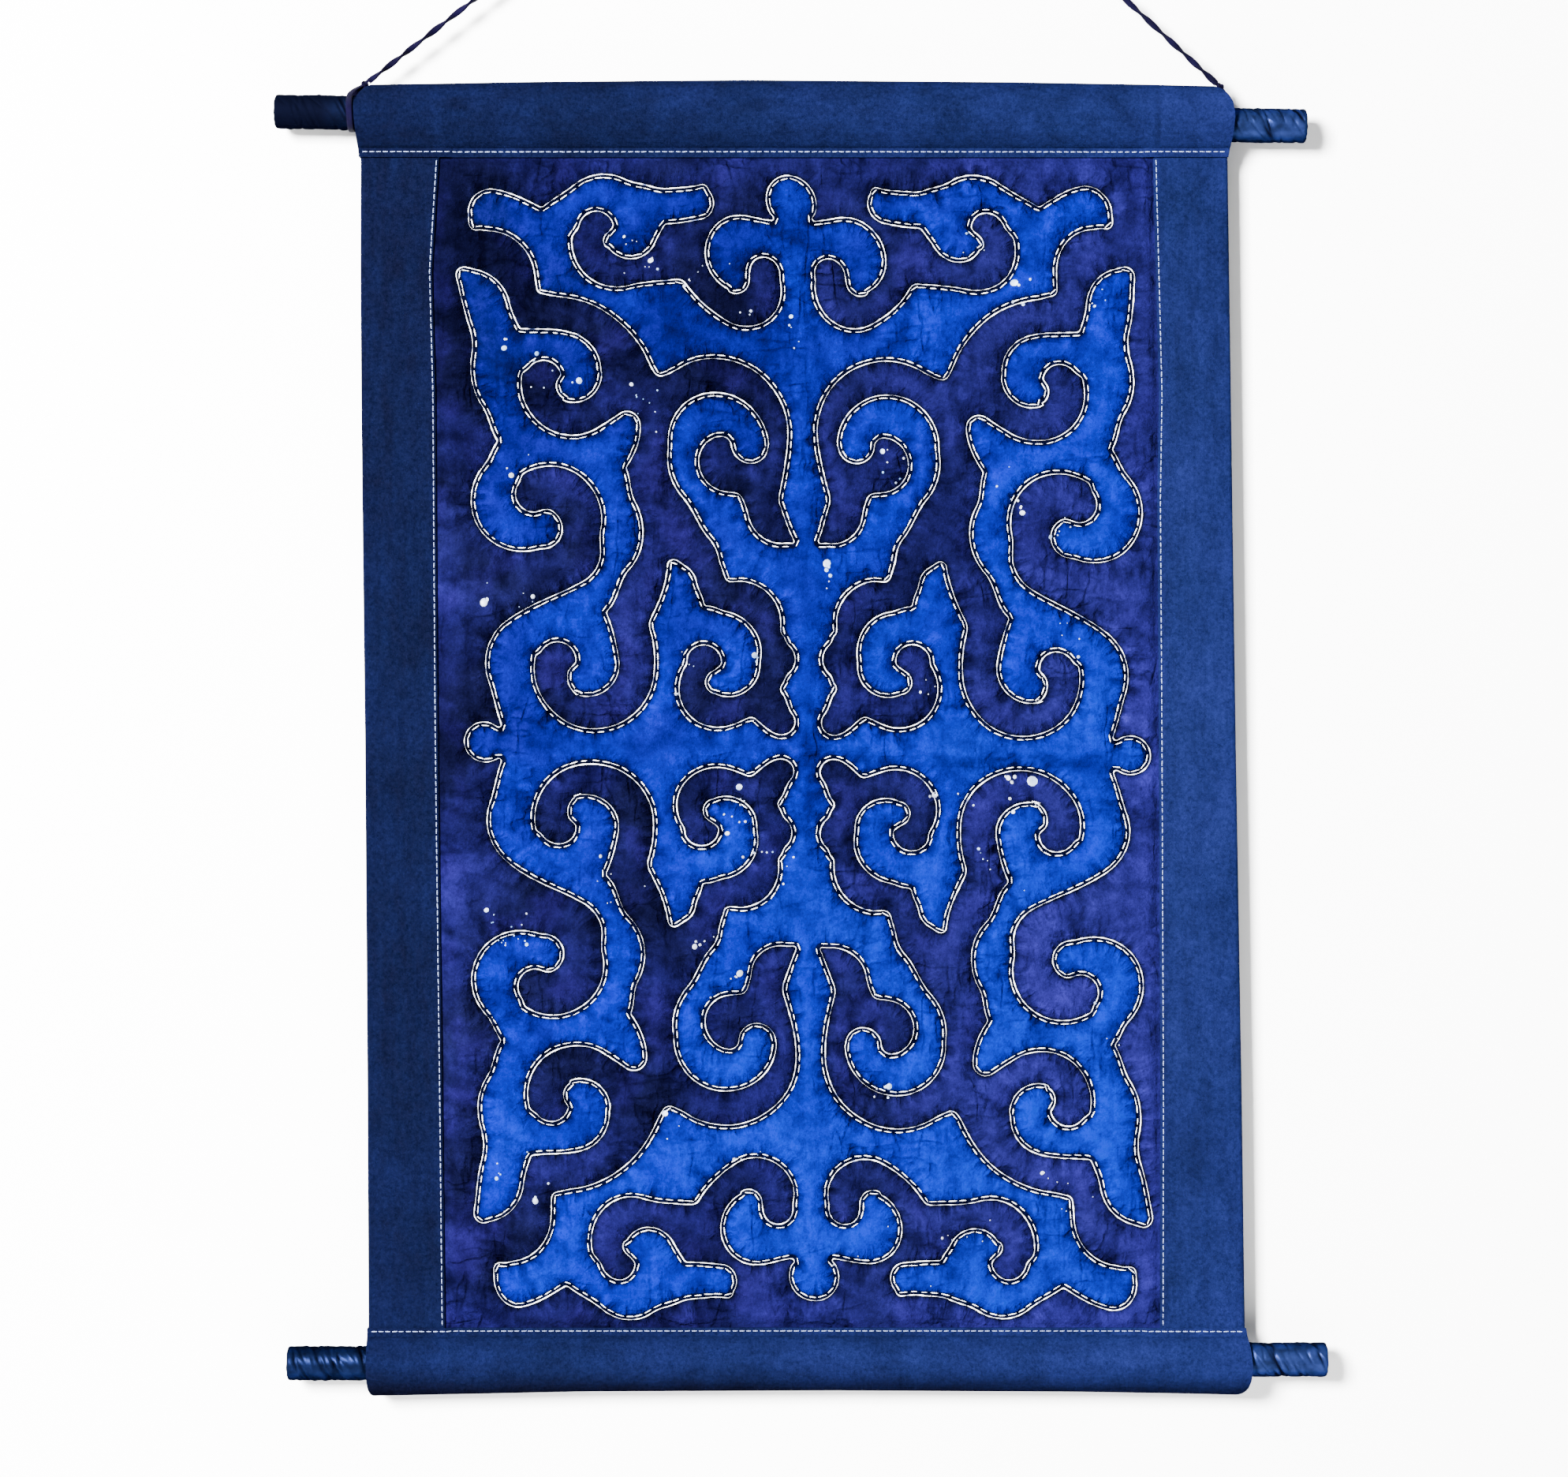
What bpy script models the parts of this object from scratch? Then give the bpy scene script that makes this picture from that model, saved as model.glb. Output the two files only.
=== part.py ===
"""Quilted wall hanging: a padded panel with folded bands and rod sleeves, on two satin rods and a ribbon.

Sizes below are millimetres. They are measured on the front, from the panel's middle: x to the right, z up,
y back towards the wall. Everything hangs under one empty, which puts the nail's place at the origin.
"""
import math

import bmesh
import bpy
import numpy as np
from mathutils import Vector
from mathutils.geometry import delaunay_2d_cdt

MM = 0.001
GAP = 0.3                      # between pieces that touch

# The nail's place, at the inner top of the hanging loop
NAIL_X = 17.0
NAIL_Z = 596.0

# Quilted panel: thin margins, and pillows between the quilting lines
PANEL_HALF_WIDTH = 216.0
PANEL_HALF_HEIGHT = 339.5
MARGIN_HALF_THICK = 0.8
PRESSED_Z = (334.3, 334.5)      # where the back steps down to the margins that the hems press thinner
PRESSED_DEPTH = 0.1
PILLOW_HEIGHT = 4.0
PILLOW_REACH = 3.8             # the distance from a line at which a pillow has two thirds of its height
EDGE_REACH = 3.2               # the same from the bands and the sleeves
DRAWING_STEP = 1.0             # along the figure's bends
FINE_STEP = 1.5                # along the line from which the pillows' height is measured
LINE_SPACING = 6.6             # along the line in the net
GRID_SPACING = 10.4
BORDER_SPACING = 14.0
LINE_CLEARANCE = 3.9           # no grid point starts nearer to a line
SETTLING_ROUNDS = 6            # in which the grid's points move in between their neighbours
COVERED = 1.0                  # the pillows end this far under the bands and sleeves
GROOVE_ANGLE = 26.0            # degrees past which the panel's edges stay sharp, as along the line

# The figure's place on the panel, and the unevenness of the hand that drew it
FIGURE_X = 5.4
FIGURE_Z = -3.6
FIGURE_REACH = 330.0
CROWN_LEAN = 12.0              # the crown leans left and the foot right
FOOT_LEAN = 5.0
NARROWING = 0.06               # towards the crown and the foot
TILT = 0.018
LOWER_HALF = 0.96
FOOT_RISE = 13.0               # the foot's knob is drawn shorter than the crown's
FOOT_WIDTH = 80.0
WOBBLE = 0.9
WAVES_ACROSS = (37.0, 90.0)    # the lengths in z and x over which the hand wavers sideways
WAVES_UPWARD = (41.0, 70.0)    # the lengths in x and z over which it wavers up and down

# Cloth of the bands and sleeves
BAND_ROWS = 21
BAND_LIP_THICK = 1.3
BAND_FOLD_Y = 0.3              # where the band's rounded outer fold ends behind
BAND_SWELL = 0.7
BAND_SWELL_END = 30.0          # the swell dies out over this length before the sleeves
BAND_RIPPLE = 31.0
FOLD_ANGLE = 50.0              # degrees past which a band's or a sleeve's edges stay sharp
SLEEVE_THICK = 1.2
HEM_Z = 334.9                  # the sleeves' folded edges
SLEEVE_MOUTH_Z = 340.0         # above here the two walls part
SLEEVE_FLARE = 1.3
SLEEVE_FLARE_REACH = 14.0
SLEEVE_STATIONS = 13
SLEEVE_TURNS = (0, 28, 54, 80, 106, 132, 156)    # degrees round the rod from the mouth to the fold
BELLY = 0.4                    # how far the sleeve's belly sits towards its fold

# Rods, wrapped in satin
ROD_RADIUS = 9.9
ROD_SIDES = 36
ROD_ROUNDING = 1.8

# Ribbon
RIBBON_WIDTH = 4.0
RIBBON_THICK = 1.0
RIBBON_HALF_TWIST = 17.0       # the length in which the ribbon turns over once
RIBBON_STEP = 4.25
KNOT_RADIUS = 2.5
RISE_THICK = 3.0               # of the ribbon's short rise from the rod to its knot
RISE_DEPTH = 2.0

# Bends of the quilting line in the upper left quarter of the figure, in the order in which it is sewn.
# Columns: x and z of the bend's centre from the figure's middle, its radius, and the angles in degrees
# between which it runs. A bend whose second angle is the smaller one turns clockwise.
FIGURE = {
    "crown knob": (
        (0.0, 313.0, 14.0, 90, 205),
        (-13.0, 303.5, 2.5, 20, -95),
    ),
    "crest horn": (
        (-32.0, 282.5, 21.0, 92, 245),
        (-37.0, 268.0, 7.0, 245, 355),
        (-19.5, 272.0, 10.0, 165, 10),
        (-32.0, 263.5, 23.0, 10, -118),
        (-71.0, 262.0, 4.5, 35, 95),
    ),
    "corner bird": (
        (-106.5, 289.5, 27.5, -75, -185),
        (-118.0, 297.0, 11.5, 165, 15),
        (-109.5, 290.0, 3.5, 150, 220),
        (-98.0, 295.5, 15.0, 215, 335),
        (-75.5, 296.5, 4.0, 150, 92),
        (-57.0, 312.0, 9.0, -80, 40),
        (-53.0, 318.5, 2.5, 30, 105),
        (-76.0, 344.0, 25.0, -87, -108),
        (-113.0, 300.5, 27.5, 62, 128),
        (-151.0, 313.0, 3.5, -55, -118),
        (-181.0, 308.0, 12.5, 82, 185),
        (-190.0, 301.5, 3.0, 185, 280),
        (-183.0, 269.5, 28.5, 85, 8),
    ),
    "arm and shoulder": (
        (-150.5, 263.5, 3.0, 188, 260),
        (-147.0, 195.0, 64.0, 84, 28),
        (-82.0, 216.5, 3.5, 215, 290),
        (-49.5, 182.0, 42.0, 122, 0),
        (-4.0, 143.5, 10.0, 165, 200),
        (-8.5, 119.5, 2.5, 25, -95),
        (-15.0, 136.5, 19.5, -85, -170),
    ),
    "heart horn": (
        (-41.0, 142.0, 4.0, 25, 85),
        (-45.0, 163.5, 17.0, -105, -250),
        (-47.0, 173.5, 6.5, 100, 5),
        (-31.0, 174.5, 9.6, 185, 360),
        (-49.5, 174.0, 28.5, 2, 180),
        (-46.0, 165.5, 32.5, 182, 222),
        (-72.0, 107.0, 21.5, 42, 8),
    ),
    "middle lobes": (
        (-44.5, 99.5, 3.0, 195, 270),
        (-40.0, 72.0, 25.0, 84, 0),
        (-12.5, 67.5, 2.5, 185, 230),
        (-19.0, 51.0, 12.0, 48, -48),
        (-12.5, 34.0, 2.5, 140, 220),
        (-15.0, 14.5, 8.5, 38, -100),
        (-32.5, 13.5, 3.0, 50, 112),
    ),
    "inner horn and bud": (
        (-51.0, 35.0, 24.0, -85, -212),
        (-60.0, 49.5, 11.0, 155, 0),
        (-52.0, 38.0, 6.0, 130, 245),
        (-45.5, 47.0, 16.5, 245, 360),
        (-51.5, 55.0, 23.0, 5, 80),
        (-58.5, 83.5, 3.0, -90, -170),
        (-77.0, 93.0, 11.5, 10, 60),
        (-77.5, 104.0, 2.5, 60, 175),
        (-81.5, 70.0, 9.0, 155, 198),
    ),
    "hook": (
        (-122.0, 44.0, 35.0, -2, -190),
        (-143.0, 48.0, 11.5, 150, 0),
        (-125.0, 39.5, 11.0, 170, 245),
        (-126.5, 47.0, 17.5, 250, 370),
        (-113.5, 76.0, 3.5, 205, 135),
        (-128.0, 123.0, 32.0, -42, 30),
        (-101.5, 158.5, 3.5, 200, 145),
        (-102.5, 184.0, 6.5, 0, 125),
    ),
    "side curl and leaf": (
        (-135.5, 206.0, 30.0, -58, -192),
        (-151.0, 210.0, 11.5, 140, 15),
        (-135.5, 205.5, 7.0, 160, 245),
        (-133.5, 213.0, 16.0, 250, 360),
        (-140.0, 214.5, 22.0, 0, 72),
        (-163.0, 241.5, 3.5, -95, -155),
        (-195.5, 249.5, 24.5, 12, 72),
        (-197.0, 271.0, 4.0, 75, 195),
        (-225.0, 230.0, 33.5, 20, -12),
        (-160.0, 214.0, 33.0, 180, 215),
        (-181.0, 173.5, 3.0, 30, -35),
    ),
    "side scroll and knob": (
        (-165.5, 139.0, 28.5, 138, 288),
        (-153.5, 123.0, 10.5, -72, 65),
        (-158.5, 142.5, 11.5, -90, -215),
        (-148.5, 129.5, 30.5, 122, -12),
        (-140.0, 111.0, 21.5, -10, -60),
        (-153.5, 46.0, 29.5, 128, 200),
        (-176.0, 10.5, 2.5, 20, -105),
        (-184.0, 0.0, 10.5, 65, 180),
    ),
}

# Bands. Columns: height, the folded edge that laps over the panel, the outer edge.
LEFT_BAND = (
    (-339.5, -202.0, -246.0), (-200.0, -203.5, -246.6), (0.0, -206.0, -248.0), (140.0, -207.0, -249.6),
    (200.0, -207.4, -250.2), (270.0, -209.3, -250.6), (339.5, -205.0, -250.4),
)
RIGHT_BAND = (
    (-339.5, 207.2, 255.8), (-200.0, 207.4, 254.0), (0.0, 206.6, 250.6), (140.0, 205.7, 248.6),
    (200.0, 206.6, 247.8), (270.0, 204.8, 246.8), (339.5, 203.0, 245.8),
)

# A band's section. Columns: the place, from -1 at the edge over the panel, past 0 at the panel's own edge,
# to 1 at the outer fold, then the share of the lip's thickness and the share of the swell.
BAND_SECTION = (
    (-1.0, 0.4, 0.0), (-0.92, 1.0, 0.1), (0.0, 1.0, 0.35), (0.15, 1.0, 0.7), (0.35, 1.0, 1.0),
    (0.6, 1.0, 0.9), (0.83, 1.0, 0.5), (0.97, 1.0, 0.2), (1.0, 0.45, 0.0),
)

# Sleeves. Columns: how far up from the hem to the fold, the left end and the right end.
TOP_SLEEVE_ENDS = (
    (0.0, -251.4, 246.2), (0.3, -252.6, 248.2), (0.55, -253.4, 249.0), (0.75, -253.0, 247.6),
    (0.88, -250.0, 244.4), (0.96, -246.6, 240.4), (1.0, -243.6, 237.2),
)
BOTTOM_SLEEVE_ENDS = (
    (0.0, -246.6, 256.2), (0.3, -246.6, 258.4), (0.55, -246.4, 259.2), (0.75, -246.0, 258.2),
    (0.88, -245.4, 256.4), (0.96, -244.2, 253.4), (1.0, -242.8, 250.0),
)

# The sleeves' folds. Columns: place along the sleeve, height of the fold, and the belly's half-depth.
TOP_FOLD = (
    (-253.0, 376.6, 12.5), (-150.0, 378.4, 12.5), (-30.0, 379.4, 12.6), (120.0, 378.2, 13.0),
    (200.0, 376.8, 13.6), (249.0, 375.6, 13.4),
)
BOTTOM_FOLD = (
    (-247.0, -374.2, 12.8), (-120.0, -371.6, 12.6), (20.0, -371.0, 12.6), (160.0, -371.8, 12.9),
    (210.0, -372.6, 13.2), (259.0, -373.6, 13.0),
)
BAND_STEPS = (-201.5, -197.0, 197.0, 201.5)     # where the front wall steps over the bands' lips

# Soft creases across a sleeve. Columns: place, half-width, and how far the cloth sinks.
TOP_CREASES = ((-209.0, 7.0, 0.7), (-186.0, 9.0, 0.4), (188.0, 8.0, 0.3), (206.0, 6.0, 0.5))
BOTTOM_CREASES = ((-205.0, 7.0, 0.6), (-70.0, 16.0, 0.4), (209.0, 7.0, 0.4))

# Rods. Columns: x and z of the left end, x and z of the right end.
TOP_ROD = (-299.6, 361.4, 291.0, 353.1)
BOTTOM_ROD = (-292.4, -355.6, 302.8, -353.4)

# Ties and knots
LEFT_TIE_X = -255.7
RIGHT_TIE_X = 245.4
LEFT_KNOT = (-248.4, 0.0, 376.9)
RIGHT_KNOT = (241.8, 0.0, 375.6)
TOP_KNOT_Z = 583.0
TOP_KNOT_RADIUS = 3.8
LOOP_HALF_WIDTH = 4.6
LOOP_HALF_HEIGHT = 6.2

COLOURS = {
    "batik": ((0.012, 0.035, 0.26), 0.75),
    "navy cotton": ((0.018, 0.045, 0.13), 0.9),
    "navy satin": ((0.012, 0.03, 0.10), 0.4),
    "ribbon": ((0.014, 0.01, 0.07), 0.6),
}


def clear_scene():
    """Remove whatever the file opened with."""
    for thing in list(bpy.data.objects):
        bpy.data.objects.remove(thing, do_unlink=True)


def new_collection(name):
    group = bpy.data.collections.new(name)
    bpy.context.scene.collection.children.link(group)
    return group


def material(name, finish):
    """The node's own Principled material, in one of the finishes above."""
    colour, roughness = COLOURS[finish]
    made = bpy.data.materials.new(name)
    made.use_nodes = True
    shader = made.node_tree.nodes["Principled BSDF"]
    shader.inputs["Base Color"].default_value = (*colour, 1.0)
    shader.inputs["Roughness"].default_value = roughness
    made.diffuse_color = (*colour, 1.0)
    return made


def add_piece(name, mesh_or_curve, finish):
    """Hang one named piece under the nail's empty."""
    piece = bpy.data.objects.new(name, mesh_or_curve)
    piece.data.materials.append(material(name, finish))
    piece.parent = nail
    parts.objects.link(piece)
    return piece


def arc(row, step):
    """Points along one bend: its circle between its two angles."""
    x, z, radius, start, end = row
    count = max(2, math.ceil(abs(math.radians(end - start)) * radius / step) + 1)
    angle = np.radians(np.linspace(start, end, count))
    return np.column_stack((x + radius * np.cos(angle), z + radius * np.sin(angle)))


def heading(row, angle):
    """The unit direction in which a bend is travelled at one of its angles."""
    turn = 1.0 if row[4] > row[3] else -1.0
    return turn * np.array((-math.sin(math.radians(angle)), math.cos(math.radians(angle))))


def link(row, following, step):
    """The cubic from one bend's end to the next one's start, which keeps both directions."""
    first, last = arc(row, step)[-1], arc(following, step)[0]
    chord = np.linalg.norm(last - first)
    t = np.linspace(0.0, 1.0, max(2, math.ceil(chord / step)) + 1)[1:-1, None]
    out, into = heading(row, row[4]) * chord, heading(following, following[3]) * chord
    return ((2 * t**3 - 3 * t**2 + 1) * first + (t**3 - 2 * t**2 + t) * out
            + (3 * t**2 - 2 * t**3) * last + (t**3 - t**2) * into)


def quarter_line(step):
    """The quilting line from the crown to the side knob."""
    rows = [row for motif in FIGURE.values() for row in motif]
    runs = []
    for row, following in zip(rows, rows[1:] + [None]):
        runs.append(arc(row, step))
        if following:
            runs.append(link(row, following, step))
    return np.concatenate(runs)


def drawn_by_hand(points):
    """Lean, tilt and waver the regular figure, and set it in its place on the panel."""
    x, z = points[:, 0], points[:, 1]
    far = z / FIGURE_REACH
    lean = np.where(z < 0.0, FOOT_LEAN, CROWN_LEAN) * far**3
    across = WOBBLE * np.sin(z / WAVES_ACROSS[0] + x / WAVES_ACROSS[1])
    upward = WOBBLE * np.sin(x / WAVES_UPWARD[0] - z / WAVES_UPWARD[1] + 1.0)
    leaned = x * (1.0 - NARROWING * far**2) - lean + across
    knob = FOOT_RISE * far**4 * np.exp(-(x / FOOT_WIDTH) ** 2)
    foot = z * (LOWER_HALF + (1.0 - LOWER_HALF) * far**2) + knob
    tall = np.where(z < 0.0, foot, z)
    tilted = tall - TILT * x * (1.0 - far**2) + upward
    return np.column_stack((FIGURE_X + leaned, FIGURE_Z + tilted))


def even_steps(points, spacing):
    """The closed line through the points, in equal steps of about the given length."""
    closed = np.vstack((points, points[:1]))
    along = np.concatenate(([0.0], np.cumsum(np.linalg.norm(np.diff(closed, axis=0), axis=1))))
    places = np.linspace(0.0, along[-1], round(along[-1] / spacing), endpoint=False)
    return np.column_stack([np.interp(places, along, closed[:, axis]) for axis in (0, 1)])


def quilting_line(spacing):
    """The whole closed line: the quarter and its three mirror images, end to end."""
    quarter = quarter_line(DRAWING_STEP)
    back = quarter[::-1]
    sides = (quarter, back * (1, -1), quarter * (-1, -1), back * (-1, 1))
    return even_steps(drawn_by_hand(np.vstack([side[:-1] for side in sides])), spacing)


def column(table, places, index):
    """A table's column at the given places of its first column, eased between its rows."""
    rows = np.array(sorted(table))
    return np.interp(places, rows[:, 0], rows[:, index])


def opening_line(spacing):
    """The closed line round the opening that the bands and sleeves leave on the panel, just inside it."""
    top = HEM_Z - COVERED
    heights = np.linspace(-top, top, round(2 * top / spacing) + 1)
    left = column(LEFT_BAND, heights, 1) + COVERED
    right = column(RIGHT_BAND, heights, 1) - COVERED
    across = np.linspace(0.0, 1.0, round(2 * PANEL_HALF_WIDTH / spacing))[1:-1]
    bottom = np.column_stack((left[0] + (right[0] - left[0]) * across, np.full(len(across), -top)))
    upper = np.column_stack((right[-1] + (left[-1] - right[-1]) * across, np.full(len(across), top)))
    return np.vstack((np.column_stack((right, heights)), upper,
                      np.column_stack((left, heights))[::-1], bottom))


def border_line(spacing):
    """The panel's own cut edge, a rectangle."""
    corners = np.array(((1, -1), (1, 1), (-1, 1), (-1, -1))) * (PANEL_HALF_WIDTH, PANEL_HALF_HEIGHT)
    sides = []
    for here, there in zip(corners, np.roll(corners, -1, axis=0)):
        count = round(np.linalg.norm(there - here) / spacing)
        sides.append(here + (there - here) * np.linspace(0.0, 1.0, count, endpoint=False)[:, None])
    return np.vstack(sides)


def nearest(points, line):
    """Each point's distance to the nearest point of a line."""
    shares = np.array_split(points, 1 + len(points) // 500)
    away = [np.linalg.norm(share[:, None] - line[None], axis=2).min(axis=1) for share in shares]
    return np.concatenate(away)


def inside_opening(points):
    """How far each point lies inside the covered edges, negative under them."""
    x, z = points[:, 0], points[:, 1]
    left = x - column(LEFT_BAND, z, 1)
    right = column(RIGHT_BAND, z, 1) - x
    return np.minimum(np.minimum(left, right), HEM_Z - np.abs(z)) - COVERED


def relief(points, line):
    """How far the front stands out: nothing on the lines and margins, a soft pillow between them."""
    pillow = 1.0 - np.exp(-nearest(points, line) / PILLOW_REACH)
    edge = 1.0 - np.exp(-np.clip(inside_opening(points), 0.0, None) / EDGE_REACH)
    return PILLOW_HEIGHT * pillow * edge


def grid_points(line):
    """Staggered points that fill the panel between the lines."""
    rows = np.arange(-HEM_Z, HEM_Z, GRID_SPACING * math.sqrt(0.75))
    points = []
    for index, z in enumerate(rows):
        x = np.arange(-PANEL_HALF_WIDTH, PANEL_HALF_WIDTH, GRID_SPACING) + (index % 2) * GRID_SPACING / 2
        points.append(np.column_stack((x, np.full(len(x), z))))
    points = np.vstack(points)
    clear = (nearest(points, line) > LINE_CLEARANCE) & (inside_opening(points) > LINE_CLEARANCE)
    return points[clear]


def settled(points, triangles):
    """Each point moved to the mean of its neighbours in the net, so that rows follow the lines."""
    total, count = np.zeros_like(points), np.zeros(len(points))
    for here, there in ((0, 1), (1, 2), (2, 0)):
        np.add.at(total, triangles[:, here], points[triangles[:, there]])
        np.add.at(count, triangles[:, here], 1.0)
        np.add.at(total, triangles[:, there], points[triangles[:, here]])
        np.add.at(count, triangles[:, there], 1.0)
    return total / np.maximum(count, 1.0)[:, None]


def press_margins(work):
    """Press the back a little thinner where the sleeves' hems hold it, so that its flat face ends there."""
    for height in (PRESSED_Z[0], PRESSED_Z[1], -PRESSED_Z[0], -PRESSED_Z[1]):
        behind = [face for face in work.faces if face.normal.y > 0.9]
        cut = set(behind)
        for face in behind:
            cut.update(face.edges)
            cut.update(face.verts)
        place = (0.0, 0.0, height * MM)
        bmesh.ops.bisect_plane(work, geom=list(cut), plane_co=place, plane_no=(0.0, 0.0, 1.0))
    middle = sum(PRESSED_Z) / 2 * MM
    for corner in work.verts:
        if corner.co.y > 0.0 and abs(corner.co.z) > middle:
            corner.co.y -= PRESSED_DEPTH * MM


def panel_mesh():
    """Net the lines, raise the front, draw the border back to a flat rear and close it."""
    fine = quilting_line(FINE_STEP)
    loops = (border_line(BORDER_SPACING), opening_line(BORDER_SPACING), quilting_line(LINE_SPACING))
    edges = []
    start = 0
    for loop in loops:
        edges += [(start + i, start + (i + 1) % len(loop)) for i in range(len(loop))]
        start += len(loop)
    flat = np.vstack((*loops, grid_points(fine)))
    for _ in range(SETTLING_ROUNDS):
        net = delaunay_2d_cdt([Vector(point) for point in flat], edges, [], 0, 1e-4)
        flat[start:] = settled(flat, np.array(net[2]))[start:]
    net = delaunay_2d_cdt([Vector(point) for point in flat], edges, [], 0, 1e-4)
    flat = np.array([tuple(point) for point in net[0]])
    height = relief(flat, fine)
    height[nearest(flat, loops[2]) < 1e-3] = 0.0
    mesh = bpy.data.meshes.new("quilted_panel")
    front = np.column_stack((flat[:, 0], -MARGIN_HALF_THICK - height, flat[:, 1])) * MM
    mesh.from_pydata(front.tolist(), [], net[2])
    work = bmesh.new()
    work.from_mesh(mesh)
    rim = [edge for edge in work.edges if edge.is_boundary]
    drawn = bmesh.ops.extrude_edge_only(work, edges=rim)["geom"]
    for corner in (item for item in drawn if isinstance(item, bmesh.types.BMVert)):
        corner.co.y = MARGIN_HALF_THICK * MM
    bmesh.ops.holes_fill(work, edges=[edge for edge in work.edges if edge.is_boundary])
    bmesh.ops.recalc_face_normals(work, faces=work.faces)
    press_margins(work)
    work.to_mesh(mesh)
    work.free()
    mesh.shade_smooth()
    mesh.set_sharp_from_angle(angle=math.radians(GROOVE_ANGLE))
    return mesh


def cloth_mesh(name, face, reverse):
    """A closed sheet between two grids of points, walled together along their four borders."""
    rows, columns = face.shape[:2]
    count = rows * columns
    index = np.arange(count).reshape(rows, columns)
    corners = (index[:-1, :-1], index[:-1, 1:], index[1:, 1:], index[1:, :-1])
    quads = np.stack(corners, axis=-1).reshape(-1, 4)
    rim = np.concatenate((index[0, :-1], index[:-1, -1], index[-1, :0:-1], index[:0:-1, 0]))
    following = np.roll(rim, -1)
    walls = np.column_stack((rim, rim + count, following + count, following))
    mesh = bpy.data.meshes.new(name)
    points = np.vstack((face.reshape(-1, 3), reverse.reshape(-1, 3))) * MM
    faces = np.vstack((quads, quads[:, ::-1] + count, walls))
    mesh.from_pydata(points.tolist(), [], faces.tolist())
    work = bmesh.new()
    work.from_mesh(mesh)
    bmesh.ops.recalc_face_normals(work, faces=work.faces)
    work.to_mesh(mesh)
    work.free()
    mesh.shade_smooth()
    mesh.set_sharp_from_angle(angle=math.radians(FOLD_ANGLE))
    return mesh


def band_mesh(name, table, side):
    """A folded strip: a thin lip over the panel's margin, then its full thickness out to the fold."""
    heights = np.linspace(-PANEL_HALF_HEIGHT, PANEL_HALF_HEIGHT, BAND_ROWS)[:, None]
    inner, outer = column(table, heights, 1), column(table, heights, 2)
    place, rise, swell = np.array(BAND_SECTION).T[:, None]
    step = side * (PANEL_HALF_WIDTH + GAP)
    x = step + np.where(place < 0.0, step - inner, outer - step) * place
    z = heights + 0.0 * x
    free = np.clip((HEM_Z - np.abs(heights)) / BAND_SWELL_END, 0.0, 1.0)
    ripple = 0.75 + 0.25 * np.sin(heights / BAND_RIPPLE + side)
    under = -(MARGIN_HALF_THICK + GAP)
    front = under - BAND_LIP_THICK * rise - BAND_SWELL * swell * free * ripple
    back = np.where(place > 0.0, MARGIN_HALF_THICK, under) + 0.0 * x
    back[:, -1] = BAND_FOLD_Y
    # The step under the lip is upright: two rows of the back share their place there.
    back_x = x.copy()
    back_x[:, np.argmax(place > 0.0)] = step
    return cloth_mesh(name, np.dstack((x, front, z)), np.dstack((back_x, back, z)))


def sink(x, creases):
    """How far the sleeve's walls are drawn in by its soft creases."""
    place, half_width, depth = np.array(creases).T
    return (depth * np.exp(-((x[..., None] - place) / half_width) ** 2)).sum(axis=-1)


def sleeve_wall(ends, fold, creases, up, inset):
    """One face of a sleeve: two upright hems, which part into a teardrop round the rod.

    The teardrop's half-depth at turn t, from the mouth at 0 to the fold at a half turn, goes with sin t
    times a power of sin t/2, and its height with 1 - cos t.
    """
    length = ends[0][2] - ends[0][1]
    bent = [place + flank * half for place, half, _ in creases for flank in (-1, 0, 1)]
    steps = (np.array((*bent, *BAND_STEPS)) - ends[0][1]) / length
    even = np.linspace(0.0, 1.0, SLEEVE_STATIONS)
    along = np.unique(np.concatenate((even, (0.02, 0.98), steps)))[:, None]
    turn = np.radians(SLEEVE_TURNS)
    depth = np.sin(turn) * np.sin(turn / 2.0) ** BELLY
    depth = depth / depth.max()
    height = (1.0 - np.cos(turn)) / 2.0
    mouth = (SLEEVE_MOUTH_Z - HEM_Z) / (abs(fold[0][1]) - HEM_Z)
    share = np.concatenate(([0.0], mouth + (1.0 - mouth) * height, [1.0]))[None, :]
    left, right = column(ends, share, 1), column(ends, share, 2)
    x = left + (right - left) * along
    top = column(fold, x, 1) * up
    z = HEM_Z + (top - inset - HEM_Z) * share
    over_band = np.interp(np.abs(x), BAND_STEPS[2:], (0.0, 1.0))
    clasp = {-1: (BAND_LIP_THICK + GAP) * over_band, 1: 0.0 * x}
    flare = SLEEVE_FLARE * np.exp(-((np.minimum(x - left, right - x)) / SLEEVE_FLARE_REACH) ** 2)
    belly = column(fold, x, 2) + flare - sink(x, creases) - inset
    walls = []
    for side in (-1, 1):
        hem = MARGIN_HALF_THICK + GAP + clasp[side] + SLEEVE_THICK - inset
        profile = np.concatenate(([0.0], depth, [0.0]))[None, :]
        settle = np.concatenate(([1.0], np.cos(turn / 2.0) ** 2, [0.0]))[None, :]
        half = hem * settle + (belly - hem * settle) * profile
        half[:, -1] = 0.0
        walls.append(np.dstack((x, side * half, z * up)))
    return np.concatenate((walls[0], walls[1][:, -2::-1]), axis=1)


def sleeve_mesh(name, ends, fold, creases, up):
    """The sleeve's cloth between its outer face and the same face set in by its thickness."""
    outside = sleeve_wall(ends, fold, creases, up, 0.0)
    inside = sleeve_wall(ends, fold, creases, up, SLEEVE_THICK)
    return cloth_mesh(name, outside, inside)


def rod_direction(rod):
    return Vector((rod[2] - rod[0], 0.0, rod[3] - rod[1])).normalized()


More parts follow.
